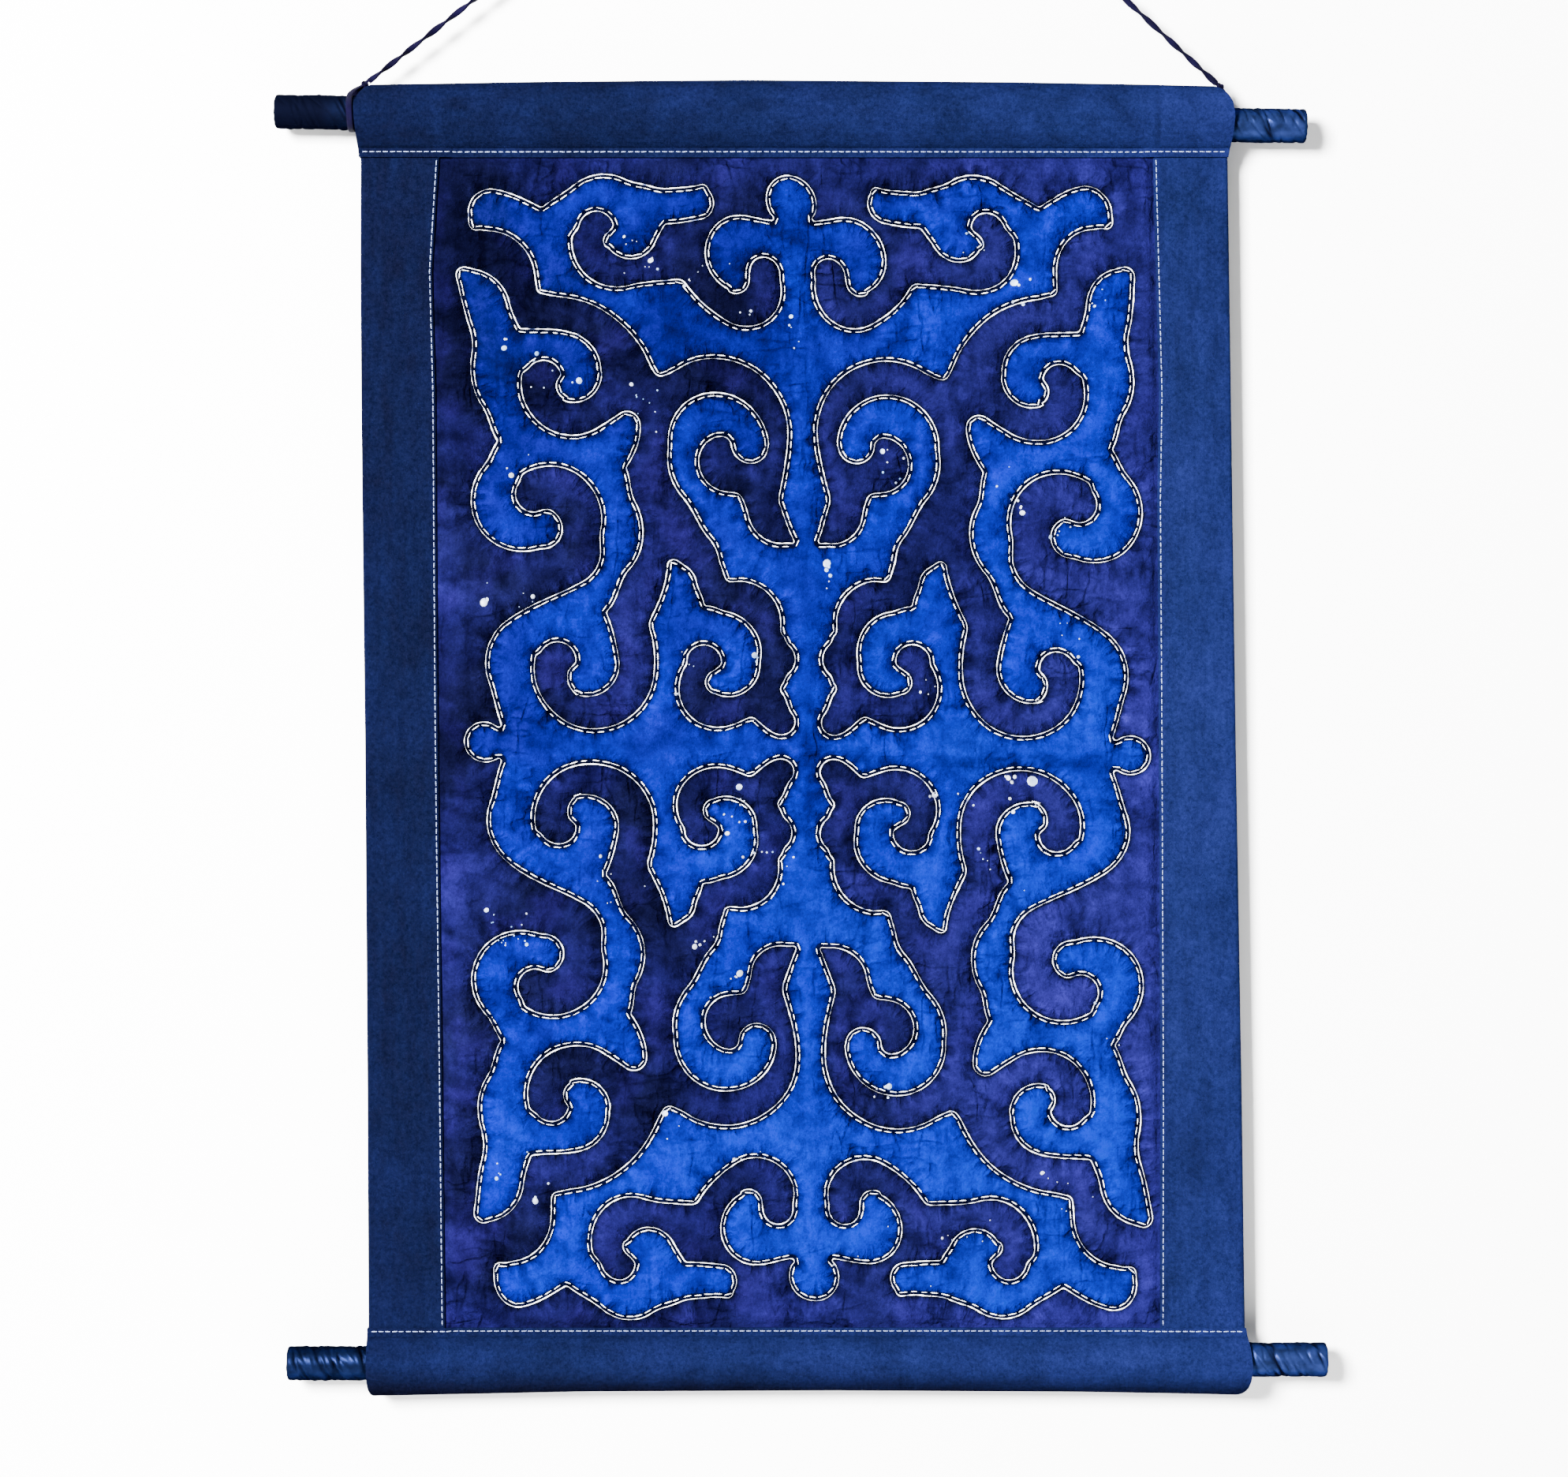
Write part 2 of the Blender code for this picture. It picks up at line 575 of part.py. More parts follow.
def add_rod(name, rod):
    """A round rod from end to end, with its ends' edges rounded by the wrapping."""
    left, right = Vector((rod[0], 0.0, rod[1])), Vector((rod[2], 0.0, rod[3]))
    length = (right - left).length * MM
    bpy.ops.mesh.primitive_cylinder_add(vertices=ROD_SIDES, radius=ROD_RADIUS * MM, depth=length)
    mesh = bpy.context.object.data
    bpy.data.objects.remove(bpy.context.object)
    rod_piece = add_piece(name, mesh, "navy satin")
    rod_piece.location = (left + right) / 2.0 * MM
    rod_piece.rotation_mode = "QUATERNION"
    rod_piece.rotation_quaternion = rod_direction(rod).to_track_quat("Z", "Y")
    rounding = rod_piece.modifiers.new("rounded ends", "BEVEL")
    rounding.width = ROD_ROUNDING * MM
    rounding.segments = 2
    rounding.limit_method = "ANGLE"
    rounding.angle_limit = math.radians(60)
    mesh.shade_smooth()
    return rod_piece


def rod_height(rod, x):
    """The height of a rod's axis at a place along it."""
    return rod[1] + (rod[3] - rod[1]) * (x - rod[0]) / (rod[2] - rod[0])


def add_ribbon(name, start, end):
    """A flat ribbon from knot to knot, turned over once in every half twist."""
    start, end = Vector(start), Vector(end)
    count = round((end - start).length / RIBBON_STEP) + 1
    line = bpy.data.curves.new(name, "CURVE")
    line.dimensions = "3D"
    line.bevel_mode = "OBJECT"
    line.bevel_object = ribbon_section
    line.use_fill_caps = True
    spline = line.splines.new("POLY")
    spline.points.add(count - 1)
    for index, point in enumerate(spline.points):
        place = start.lerp(end, index / (count - 1))
        point.co = (*(place * MM), 1.0)
        point.tilt = math.pi * index * (end - start).length / (count - 1) / RIBBON_HALF_TWIST
    return add_piece(name, line, "ribbon")


def ribbon_outline():
    """The ribbon's flat section, a guide for the two legs."""
    outline = bpy.data.curves.new("ribbon section", "CURVE")
    outline.dimensions = "2D"
    spline = outline.splines.new("POLY")
    spline.points.add(3)
    corners = ((-1, -1), (-1, 1), (1, 1), (1, -1))
    for point, (across, thick) in zip(spline.points, corners):
        point.co = (across * RIBBON_WIDTH / 2 * MM, thick * RIBBON_THICK / 2 * MM, 0.0, 1.0)
    spline.use_cyclic_u = True
    return hidden_guide("ribbon_section", outline)


def hidden_guide(name, data):
    """A helper that is cut with or joined in, and never shown."""
    guide = bpy.data.objects.new(name, data)
    guide.hide_render = True
    guide.display_type = "WIRE"
    guides.objects.link(guide)
    return guide


def lump(name, centre, radii, lean=0.0):
    """An egg of ribbon, leaning in the plane of the cloth."""
    bpy.ops.mesh.primitive_uv_sphere_add(segments=10, ring_count=6, radius=1.0)
    mesh = bpy.context.object.data
    bpy.data.objects.remove(bpy.context.object)
    egg = hidden_guide(name, mesh)
    egg.parent = nail
    egg.location = Vector(centre) * MM
    egg.rotation_euler = (0.0, math.radians(lean), 0.0)
    egg.scale = Vector(radii) * MM
    return egg


def ring_mesh(name, half_width, half_height, depth, segments):
    """A ribbon ring that lies flat: an oval of two half sizes, as deep as the ribbon is wide."""
    bpy.ops.mesh.primitive_torus_add(
        major_segments=segments, minor_segments=6, major_radius=1.0, minor_radius=RIBBON_THICK / 2)
    mesh = bpy.context.object.data
    bpy.data.objects.remove(bpy.context.object)
    mesh.name = name
    points = np.empty(len(mesh.vertices) * 3)
    mesh.vertices.foreach_get("co", points)
    points = points.reshape(-1, 3)
    reach = np.linalg.norm(points[:, :2], axis=1, keepdims=True)
    unit = points[:, :2] / reach
    offset = reach - 1.0
    middle = unit * (half_width, half_height)
    points[:, :2] = middle + unit * offset
    points[:, 2] *= depth / RIBBON_THICK
    mesh.vertices.foreach_set("co", (points * MM).ravel())
    mesh.shade_smooth()
    return mesh


def join_lumps(piece, lumps):
    for egg in lumps:
        union = piece.modifiers.new(egg.name, "BOOLEAN")
        union.operation = "UNION"
        union.object = egg


def add_tie(name, x, knot):
    """One turn of ribbon round the rod, and the short rise to its knot."""
    centre = Vector((x, 0.0, rod_height(TOP_ROD, x)))
    reach = ROD_RADIUS + GAP + RIBBON_THICK / 2
    tie = add_piece(name, ring_mesh(name, reach, reach, RIBBON_WIDTH * 0.85, 28), "ribbon")
    tie.location = centre * MM
    tie.rotation_mode = "QUATERNION"
    tie.rotation_quaternion = rod_direction(TOP_ROD).to_track_quat("Z", "Y")
    foot = centre + Vector((0.0, 0.0, reach))
    rise = Vector(knot) - foot
    lean = math.degrees(math.atan2(rise.x, rise.z))
    rise_size = (RISE_THICK / 2, RISE_DEPTH / 2, rise.length / 2 + GAP * 3)
    riser = lump(name + "_rise", foot + rise / 2, rise_size, lean)
    bow = lump(name + "_knot", knot, (KNOT_RADIUS, KNOT_RADIUS * 0.9, KNOT_RADIUS * 0.85), 25.0)
    join_lumps(tie, (riser, bow))


def add_hanging_loop():
    """The knot where the legs meet, and the small loop above it."""
    centre = NAIL_Z - LOOP_HALF_HEIGHT + RIBBON_THICK / 2
    ring = ring_mesh("hanging_loop", LOOP_HALF_WIDTH, LOOP_HALF_HEIGHT, RIBBON_WIDTH * 0.8, 22)
    loop = add_piece("hanging_loop", ring, "ribbon")
    loop.location = Vector((NAIL_X, 0.0, centre)) * MM
    loop.rotation_euler = (math.radians(90), 0.0, 0.0)
    wrap = Vector((1.0, 0.8, 0.68)) * TOP_KNOT_RADIUS
    first = lump("loop_knot_left", (NAIL_X - 1.0, -0.4, TOP_KNOT_Z + 0.6), wrap, 24.0)
    second = lump("loop_knot_right", (NAIL_X + 1.0, 0.4, TOP_KNOT_Z - 0.4), wrap, -26.0)
    neck = lump("loop_neck", (NAIL_X, 0.0, TOP_KNOT_Z + 3.0), (2.0, 1.6, 3.2))
    join_lumps(loop, (first, second, neck))


def leg_end(knot, away, radius):
    """Where a leg's end meets a knot, just clear of it."""
    towards = (Vector(away) - Vector(knot)).normalized()
    return Vector(knot) + towards * (radius + GAP)


clear_scene()
parts = new_collection("quilted wall hanging")
guides = new_collection("guides")
nail = bpy.data.objects.new("nail", None)
nail.location = (-NAIL_X * MM, 0.0, -NAIL_Z * MM)
parts.objects.link(nail)

add_piece("quilted_panel", panel_mesh(), "batik")
add_piece("left_band", band_mesh("left_band", LEFT_BAND, -1), "navy cotton")
add_piece("right_band", band_mesh("right_band", RIGHT_BAND, 1), "navy cotton")
top_cloth = sleeve_mesh("top_sleeve", TOP_SLEEVE_ENDS, TOP_FOLD, TOP_CREASES, 1)
add_piece("top_sleeve", top_cloth, "navy cotton")
bottom_cloth = sleeve_mesh("bottom_sleeve", BOTTOM_SLEEVE_ENDS, BOTTOM_FOLD, BOTTOM_CREASES, -1)
add_piece("bottom_sleeve", bottom_cloth, "navy cotton")
add_rod("top_rod", TOP_ROD)
add_rod("bottom_rod", BOTTOM_ROD)
add_tie("left_tie", LEFT_TIE_X, LEFT_KNOT)
add_tie("right_tie", RIGHT_TIE_X, RIGHT_KNOT)
add_hanging_loop()
ribbon_section = ribbon_outline()
top_knot = (NAIL_X, 0.0, TOP_KNOT_Z)
for side_name, knot_place in (("left_ribbon", LEFT_KNOT), ("right_ribbon", RIGHT_KNOT)):
    add_ribbon(side_name, leg_end(knot_place, top_knot, KNOT_RADIUS),
               leg_end(top_knot, knot_place, TOP_KNOT_RADIUS + 0.4))
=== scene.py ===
"""The looks of the quilted wall hanging: dyed and quilted cloth, stitches, satin rods and a ribbon.

Sizes are in millimetres from the middle of the panel's front: x to the right, z up, y back to the wall.
world() puts them into the frame, whose origin is the nail's place.
"""
import math

import bpy
import numpy as np
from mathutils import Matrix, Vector

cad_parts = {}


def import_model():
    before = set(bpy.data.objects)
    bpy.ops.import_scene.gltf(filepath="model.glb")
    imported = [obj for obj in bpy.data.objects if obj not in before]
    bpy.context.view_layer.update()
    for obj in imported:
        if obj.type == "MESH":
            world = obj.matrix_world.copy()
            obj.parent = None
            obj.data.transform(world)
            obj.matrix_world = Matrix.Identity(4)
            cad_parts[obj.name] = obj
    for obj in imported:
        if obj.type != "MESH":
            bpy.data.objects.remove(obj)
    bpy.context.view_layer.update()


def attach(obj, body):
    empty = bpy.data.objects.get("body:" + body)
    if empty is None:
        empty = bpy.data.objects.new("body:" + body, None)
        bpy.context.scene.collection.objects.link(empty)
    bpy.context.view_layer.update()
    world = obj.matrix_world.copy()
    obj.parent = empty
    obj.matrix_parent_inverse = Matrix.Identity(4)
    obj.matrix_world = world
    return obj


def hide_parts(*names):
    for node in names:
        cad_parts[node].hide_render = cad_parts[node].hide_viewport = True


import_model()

MM = 0.001
TURN = 2.0 * np.pi
NAIL = np.array((17.0, 0.0, 596.0))
FRONT = np.array((0.0, -1.0, 0.0))
GAP = 0.3

# The picture, and where it stands on the cloth
PICTURE_WIDTH = 898.6          # millimetres across the picture at the cloth
PICTURE_CENTRE = (-8.1, 2.3)
CAMERA_DISTANCE = 2200.0
SENSOR = 36.0
KEY_PLACE = (-1850.0, -3200.0, 1050.0)
KEY_SIZE = 1.1                 # metres
KEY_WATTS = 2350.0
SURROUNDINGS = 0.45
FLOOR_Z = -900.0
BACKDROP_Y = 16.0

# Quilted panel
PANEL_HALF_WIDTH = 216.0
PANEL_HALF_HEIGHT = 339.5
MARGIN_HALF_THICK = 0.8
PILLOW_HEIGHT = 4.5
PILLOW_REACH = 6.2
PILLOW_ROUNDNESS = 1.4
EDGE_REACH = 3.6
COVERED = 1.0
HEM_Z = 334.9
CLOTH_STEP = 1.82
BACK_STEP = 3.4
BACK_PILLOW = 1.2
LINE_STEP = 1.25
LINE_HALF_WIDTH = 0.185
ROW_OFFSET = 0.98              # of the white line and the stitches, from the figure's edge
STITCH_PITCH = 5.9
TOPSTITCH_PITCH = 3.9
STITCH_LENGTH = (4.3, 5.2)     # stitches lie between the smaller size and the larger
STITCH_WIDTH = (0.38, 0.66)
STITCH_HEIGHT = (0.36, 0.5)
BACK_STITCH_LENGTH = (1.8, 2.6)
BACK_STITCH_WIDTH = (0.9, 1.2)
BACK_STITCH_HEIGHT = 0.7
TOPSTITCH_LENGTH = (2.8, 3.3)
TOPSTITCH_WIDTH = (0.42, 0.56)
TOPSTITCH_HEIGHT = (0.32, 0.42)
PLY_PITCH = 1.1
LINE_JUMP = 8.0                # a larger step along the line means that the nearest row changes

# Sections of the white line and of a dot. Columns: share of the half-width, and height.
LINE_SECTION = ((-1.0, 0.0), (-0.62, 0.2), (0.0, 0.28), (0.62, 0.2), (1.0, 0.0), (0.0, -0.3))
DOT_SECTION = ((1.0, -0.15), (0.94, 0.1), (0.6, 0.2), (0.12, 0.24))

# Pucker: small folds that run from the stitches into the pillows
PUCKER_HEIGHT = 1.1
PUCKER_REACH = 7.5
PUCKER_WAVES = (7.3, 9.7, 12.9, 17.1)
PULL_REACH = 9.0
HEM_GATHER_REACH = 24.0
BAND_GATHER_REACH = 16.0

# The figure's place on the panel, and the unevenness of the hand that drew it
FIGURE_X = 5.4
FIGURE_Z = -3.6
FIGURE_REACH = 330.0
CROWN_LEAN = 12.0
FOOT_LEAN = 5.0
NARROWING = 0.06
TILT = 0.018
LOWER_HALF = 0.96
FOOT_RISE = 13.0
FOOT_WIDTH = 80.0
WOBBLE = 0.9
WAVES_ACROSS = (37.0, 90.0)
WAVES_UPWARD = (41.0, 70.0)

# Cloth of the bands and sleeves
BAND_LIP_THICK = 1.3
BAND_FOLD_Y = 0.3
BAND_SWELL = 0.7
BAND_SWELL_END = 30.0
BAND_RIPPLE = 31.0
SLEEVE_THICK = 1.2
SLEEVE_MOUTH_Z = 340.0
SLEEVE_FLARE = 1.3
SLEEVE_FLARE_REACH = 14.0
BELLY = 0.4

# Rods
ROD_RADIUS = 9.9
ROD_ROUNDING = 1.8
ROD_SHOWN = 56.0
ROD_FOLDS = 64
SATIN_TURN = 26.0
FOLD_REACH = (4.0, 12.0)
FOLD_WIDTH = (0.45, 0.9)
FOLD_SLANT = (1.15, 0.2)       # radians, and how far they stray
FOLD_HEIGHTS = (-0.55, -0.4, 0.4)
ROD_RELIEF = (-0.75, 0.45)
ROD_END_RINGS = (1.0, 0.985, 0.94, 0.86, 0.7, 0.5, 0.3, 0.12, 0.02)

# Ribbon
RIBBON_WIDTH = 4.0
RIBBON_THICK = 0.9
LEG_THICK = 1.9                # the twisted legs are rolled nearly to a cord
RIBBON_HALF_TWIST = 17.0
RIB_PITCH = 0.45
TIE_WIDTH = 3.6                # the ribbon is pulled narrower in its ties, knots and loop
KNOT_RIBBON_WIDTH = 2.2
STUB_WIDTH = 3.0
STUB_TAPER = 1.2
STUB_THICK = 0.7
TOP_KNOT_RIBBON_WIDTH = 2.8
LOOP_RIBBON_WIDTH = 3.2
LOOP_RIBBON_THICK = 0.85
KNOT_RADIUS = 2.5
LEFT_TIE_X = -255.7
RIGHT_TIE_X = 245.4
LEFT_KNOT = (-248.4, 0.0, 376.9)
RIGHT_KNOT = (241.8, 0.0, 375.6)
TOP_KNOT = (17.0, 0.0, 583.0)
TOP_KNOT_RADIUS = 3.8
LOOP_HALF_WIDTH = 4.6
LOOP_HALF_HEIGHT = 6.2

# Bends of the quilting line in the upper left quarter of the figure, in the order in which it is sewn.
# Columns: x and z of the bend's centre from the figure's middle, its radius, and the angles in degrees
# between which it runs. A bend whose second angle is the smaller one turns clockwise.
FIGURE = {
    "crown knob": (
        (0, 313, 14, 90, 205), (-13, 303.5, 2.5, 20, -95),
    ),
    "crest horn": (
        (-32, 282.5, 21, 92, 245), (-37, 268, 7, 245, 355), (-19.5, 272, 10, 165, 10),
        (-32, 263.5, 23, 10, -118), (-71, 262, 4.5, 35, 95),
    ),
    "corner bird": (
        (-106.5, 289.5, 27.5, -75, -185), (-118, 297, 11.5, 165, 15), (-109.5, 290, 3.5, 150, 220),
        (-98, 295.5, 15, 215, 335), (-75.5, 296.5, 4, 150, 92), (-57, 312, 9, -80, 40),
        (-53, 318.5, 2.5, 30, 105), (-76, 344, 25, -87, -108), (-113, 300.5, 27.5, 62, 128),
        (-151, 313, 3.5, -55, -118), (-181, 308, 12.5, 82, 185), (-190, 301.5, 3, 185, 280),
        (-183, 269.5, 28.5, 85, 8),
    ),
    "arm and shoulder": (
        (-150.5, 263.5, 3, 188, 260), (-147, 195, 64, 84, 28), (-82, 216.5, 3.5, 215, 290),
        (-49.5, 182, 42, 122, 0), (-4, 143.5, 10, 165, 200), (-8.5, 119.5, 2.5, 25, -95),
        (-15, 136.5, 19.5, -85, -170),
    ),
    "heart horn": (
        (-41, 142, 4, 25, 85), (-45, 163.5, 17, -105, -250), (-47, 173.5, 6.5, 100, 5),
        (-31, 174.5, 9.6, 185, 360), (-49.5, 174, 28.5, 2, 180), (-46, 165.5, 32.5, 182, 222),
        (-72, 107, 21.5, 42, 8),
    ),
    "middle lobes": (
        (-44.5, 99.5, 3, 195, 270), (-40, 72, 25, 84, 0), (-12.5, 67.5, 2.5, 185, 230),
        (-19, 51, 12, 48, -48), (-12.5, 34, 2.5, 140, 220), (-15, 14.5, 8.5, 38, -100),
        (-32.5, 13.5, 3, 50, 112),
    ),
    "inner horn and bud": (
        (-51, 35, 24, -85, -212), (-60, 49.5, 11, 155, 0), (-52, 38, 6, 130, 245),
        (-45.5, 47, 16.5, 245, 360), (-51.5, 55, 23, 5, 80), (-58.5, 83.5, 3, -90, -170),
        (-77, 93, 11.5, 10, 60), (-77.5, 104, 2.5, 60, 175), (-81.5, 70, 9, 155, 198),
    ),
    "hook": (
        (-122, 44, 35, -2, -190), (-143, 48, 11.5, 150, 0), (-125, 39.5, 11, 170, 245),
        (-126.5, 47, 17.5, 250, 370), (-113.5, 76, 3.5, 205, 135), (-128, 123, 32, -42, 30),
        (-101.5, 158.5, 3.5, 200, 145), (-102.5, 184, 6.5, 0, 125),
    ),
    "side curl and leaf": (
        (-135.5, 206, 30, -58, -192), (-151, 210, 11.5, 140, 15), (-135.5, 205.5, 7, 160, 245),
        (-133.5, 213, 16, 250, 360), (-140, 214.5, 22, 0, 72), (-163, 241.5, 3.5, -95, -155),
        (-195.5, 249.5, 24.5, 12, 72), (-197, 271, 4, 75, 195), (-225, 230, 33.5, 20, -12),
        (-160, 214, 33, 180, 215), (-181, 173.5, 3, 30, -35),
    ),
    "side scroll and knob": (
        (-165.5, 139, 28.5, 138, 288), (-153.5, 123, 10.5, -72, 65), (-158.5, 142.5, 11.5, -90, -215),
        (-148.5, 129.5, 30.5, 122, -12), (-140, 111, 21.5, -10, -60), (-153.5, 46, 29.5, 128, 200),
        (-176, 10.5, 2.5, 20, -105), (-184, 0, 10.5, 65, 180),
    ),
}

# Bands. Columns: height, the folded edge that laps over the panel, the outer edge.
LEFT_BAND = (
    (-339.5, -202, -246), (-200, -203.5, -246.6), (0, -206, -248), (140, -207, -249.6),
    (200, -207.4, -250.2), (270, -209.3, -250.6), (339.5, -205, -250.4),
)
RIGHT_BAND = (
    (-339.5, 207.2, 255.8), (-200, 207.4, 254), (0, 206.6, 250.6), (140, 205.7, 248.6), (200, 206.6, 247.8),
    (270, 204.8, 246.8), (339.5, 203, 245.8),
)

# A band's section. Columns: the place, from -1 at the edge over the panel, past 0 at the panel's own edge,
# to 1 at the outer fold, then the share of the lip's thickness and the share of the swell.
BAND_SECTION = (
    (-1, 0.4, 0), (-0.92, 1, 0.1), (0, 1, 0.35), (0.15, 1, 0.7), (0.35, 1, 1), (0.6, 1, 0.9),
    (0.83, 1, 0.5), (0.97, 1, 0.2), (1, 0.45, 0),
)

# Sleeves. Columns: how far up from the hem to the fold, the left end and the right end.
TOP_SLEEVE_ENDS = (
    (0, -251.4, 246.2), (0.3, -252.6, 248.2), (0.55, -253.4, 249), (0.75, -253, 247.6), (0.88, -250, 244.4),
    (0.96, -246.6, 240.4), (1, -243.6, 237.2),
)
BOTTOM_SLEEVE_ENDS = (
    (0, -246.6, 256.2), (0.3, -246.6, 258.4), (0.55, -246.4, 259.2), (0.75, -246, 258.2),
    (0.88, -245.4, 256.4), (0.96, -244.2, 253.4), (1, -242.8, 250),
)

# The sleeves' folds. Columns: place along the sleeve, height of the fold, and the belly's half-depth.
TOP_FOLD = (
    (-253, 376.6, 12.5), (-150, 378.4, 12.5), (-30, 379.4, 12.6), (120, 378.2, 13), (200, 376.8, 13.6),
    (249, 375.6, 13.4),
)
BOTTOM_FOLD = (
    (-247, -374.2, 12.8), (-120, -371.6, 12.6), (20, -371, 12.6), (160, -371.8, 12.9), (210, -372.6, 13.2),
    (259, -373.6, 13),
)

# Where a sleeve's front steps up on to the bands: both ends of the left step, then of the right one.
BAND_STEPS = (-201.5, -197, 197, 201.5)

# Soft creases across a sleeve. Columns: place, half-width, and how far the cloth sinks.
TOP_CREASES = ((-209, 7, 0.7), (-186, 9, 0.4), (188, 8, 0.3), (206, 6, 0.5))
BOTTOM_CREASES = ((-205, 7, 0.6), (-70, 16, 0.4), (209, 7, 0.4))

# Rods. Columns: x and z of the left end, x and z of the right end.
TOP_ROD = (-299.6, 361.4, 291, 353.1)
BOTTOM_ROD = (-292.4, -355.6, 302.8, -353.4)

# Creases in the panel. Columns: x and z of both ends, half-width, and the depth, negative for a ridge.
PANEL_CREASES = (
    (-4, -8.6, 168, -10.4, 2.6, 0.9), (-150, 0.4, -20, -2.4, 5, 0.5), (168, -10.4, 205, -6, 3, 0.5),
    (5.6, 28, 6.4, -60, 3.4, 0.8), (4.6, 120, 5.4, 40, 5, 0.35), (7, -60, 8, -200, 5, 0.4),
    (-204, -63.4, -172, -62.4, 1.6, 0.9), (-204, 4.6, -190, 2.4, 1.6, 0.6), (-204, 92, -184, 94, 2, 0.6),
    (-204, 176, -188, 172, 2.2, 0.6), (-204, -126, -182, -121, 2.2, 0.7), (-203, -196, -186, -200, 2, 0.6),
    (-202, -262, -160, -286, 2.6, 0.8), (203, -84, 180, -80, 1.8, 0.8), (204, -104, 176, -108, 1.8, 0.8),
    (204, 60, 186, 64, 2, 0.6), (204, 128, 190, 126, 2, 0.5), (204, -232, 190, -236, 2, 0.7),
    (204, -290, 150, -300, 2.4, 0.6), (-150, 332, -154, 322, 3, 0.6), (-60, 332, -52, 318, 3, 0.5),
    (60, 332, 66, 322, 3, 0.5), (120, 332, 126, 326, 3, 0.5), (-40, -332, -48, -318, 3.4, 0.6),
    (90, -332, 84, -322, 3, 0.5), (-96, 20, -60, 4, 4, -0.4), (60, 236, 66, 258, 4, 0.4),
    (-70, 236, -74, 256, 4, 0.5),
)

# Painted shade and painted light on the navy cloth: dark and light streaks beside its soft folds, painted
# shade along the bottom sleeve's lower side and the top sleeve's top edge, and broad lighter and darker
# patches. Columns: x and z of the middle, half-width, half-length, the lean in degrees from upright, and
# how much lighter or darker.
COTTON_SHADES = (
    (-206, 360, 2.6, 15, 2, 0.30), (-213, 362, 4, 12, 4, -0.14), (-178, 358, 10, 9, 30, -0.10),
    (205.2, 357, 1.7, 17, 0, -0.42), (209.5, 357, 2, 16, 0, 0.10), (180, 366, 4, 9, 25, -0.32),
    (190.5, 353, 3.4, 8, 30, -0.32), (171, 362, 5, 12, 20, 0.12), (198, 369, 7, 4, 60, -0.2),
    (-232, 327, 2.6, 15, -4, 0.36), (-239, 320, 3, 22, -3, -0.14), (-222, -354.5, 7, 0.9, 0, 0.3),
    (-203, -348, 12, 7, 40, 0.16), (195, -357, 4, 11, 3, -0.16), (209, -357, 3, 12, -4, -0.2),
    (60, 362, 16, 6, 70, 0.10), (-90, 358, 22, 5, 82, -0.12), (120, -352, 20, 6, 80, 0.12),
    (-60, -360, 30, 5, 86, -0.12), (0, 378, 260, 3.5, 0, -0.22), (0, -374, 700, 11, 0, -0.85),
    (-150, -350, 150, 16, 0, 0.55), (-228, 260, 30, 80, 0, -0.14), (228, 20, 40, 130, 0, 0.26),
    (-180, 357, 60, 26, 0, 0.36), (150, 357, 110, 26, 0, 0.26), (20, 357, 90, 26, 0, 0.1),
    (80, -350, 240, 13, 0, 0.30),
)

# The same for the dyed cloth: painted shade along folds across its middle and down its centre, a painted
# highlight above one of them, and darker patches.
PANEL_SHADES = (
    (-45, 235, 70, 90, 0, -0.40), (50, 60, 50, 70, 0, -0.18), (5.5, -10, 8, 130, 0, -0.24),
    (70, -13, 120, 2.2, 0, -0.36), (70, -6, 90, 4, 0, 0.10), (-90, -1, 60, 3, 2, -0.20),
)

# And lighter and darker patches for its indigo ground alone.
GROUND_SHADES = (
    (-180, 270, 60, 70, 0, -0.40), (-180, 95, 40, 42, 0, 0.75), (-188, -130, 40, 60, 0, 0.75),
    (-170, -240, 60, 70, 0, 0.34), (-60, -240, 60, 90, 0, -0.22), (70, 140, 55, 90, 0, -0.16),
    (-45, 235, 70, 90, 0, 0.3), (190, 30, 40, 60, 0, 0.25), (-60, 70, 50, 60, 0, 0.22),
    (180, 240, 50, 70, 0, -0.20), (185, -150, 45, 70, 0, 0.30), (25, 40, 150, 230, 0, -0.13),
)

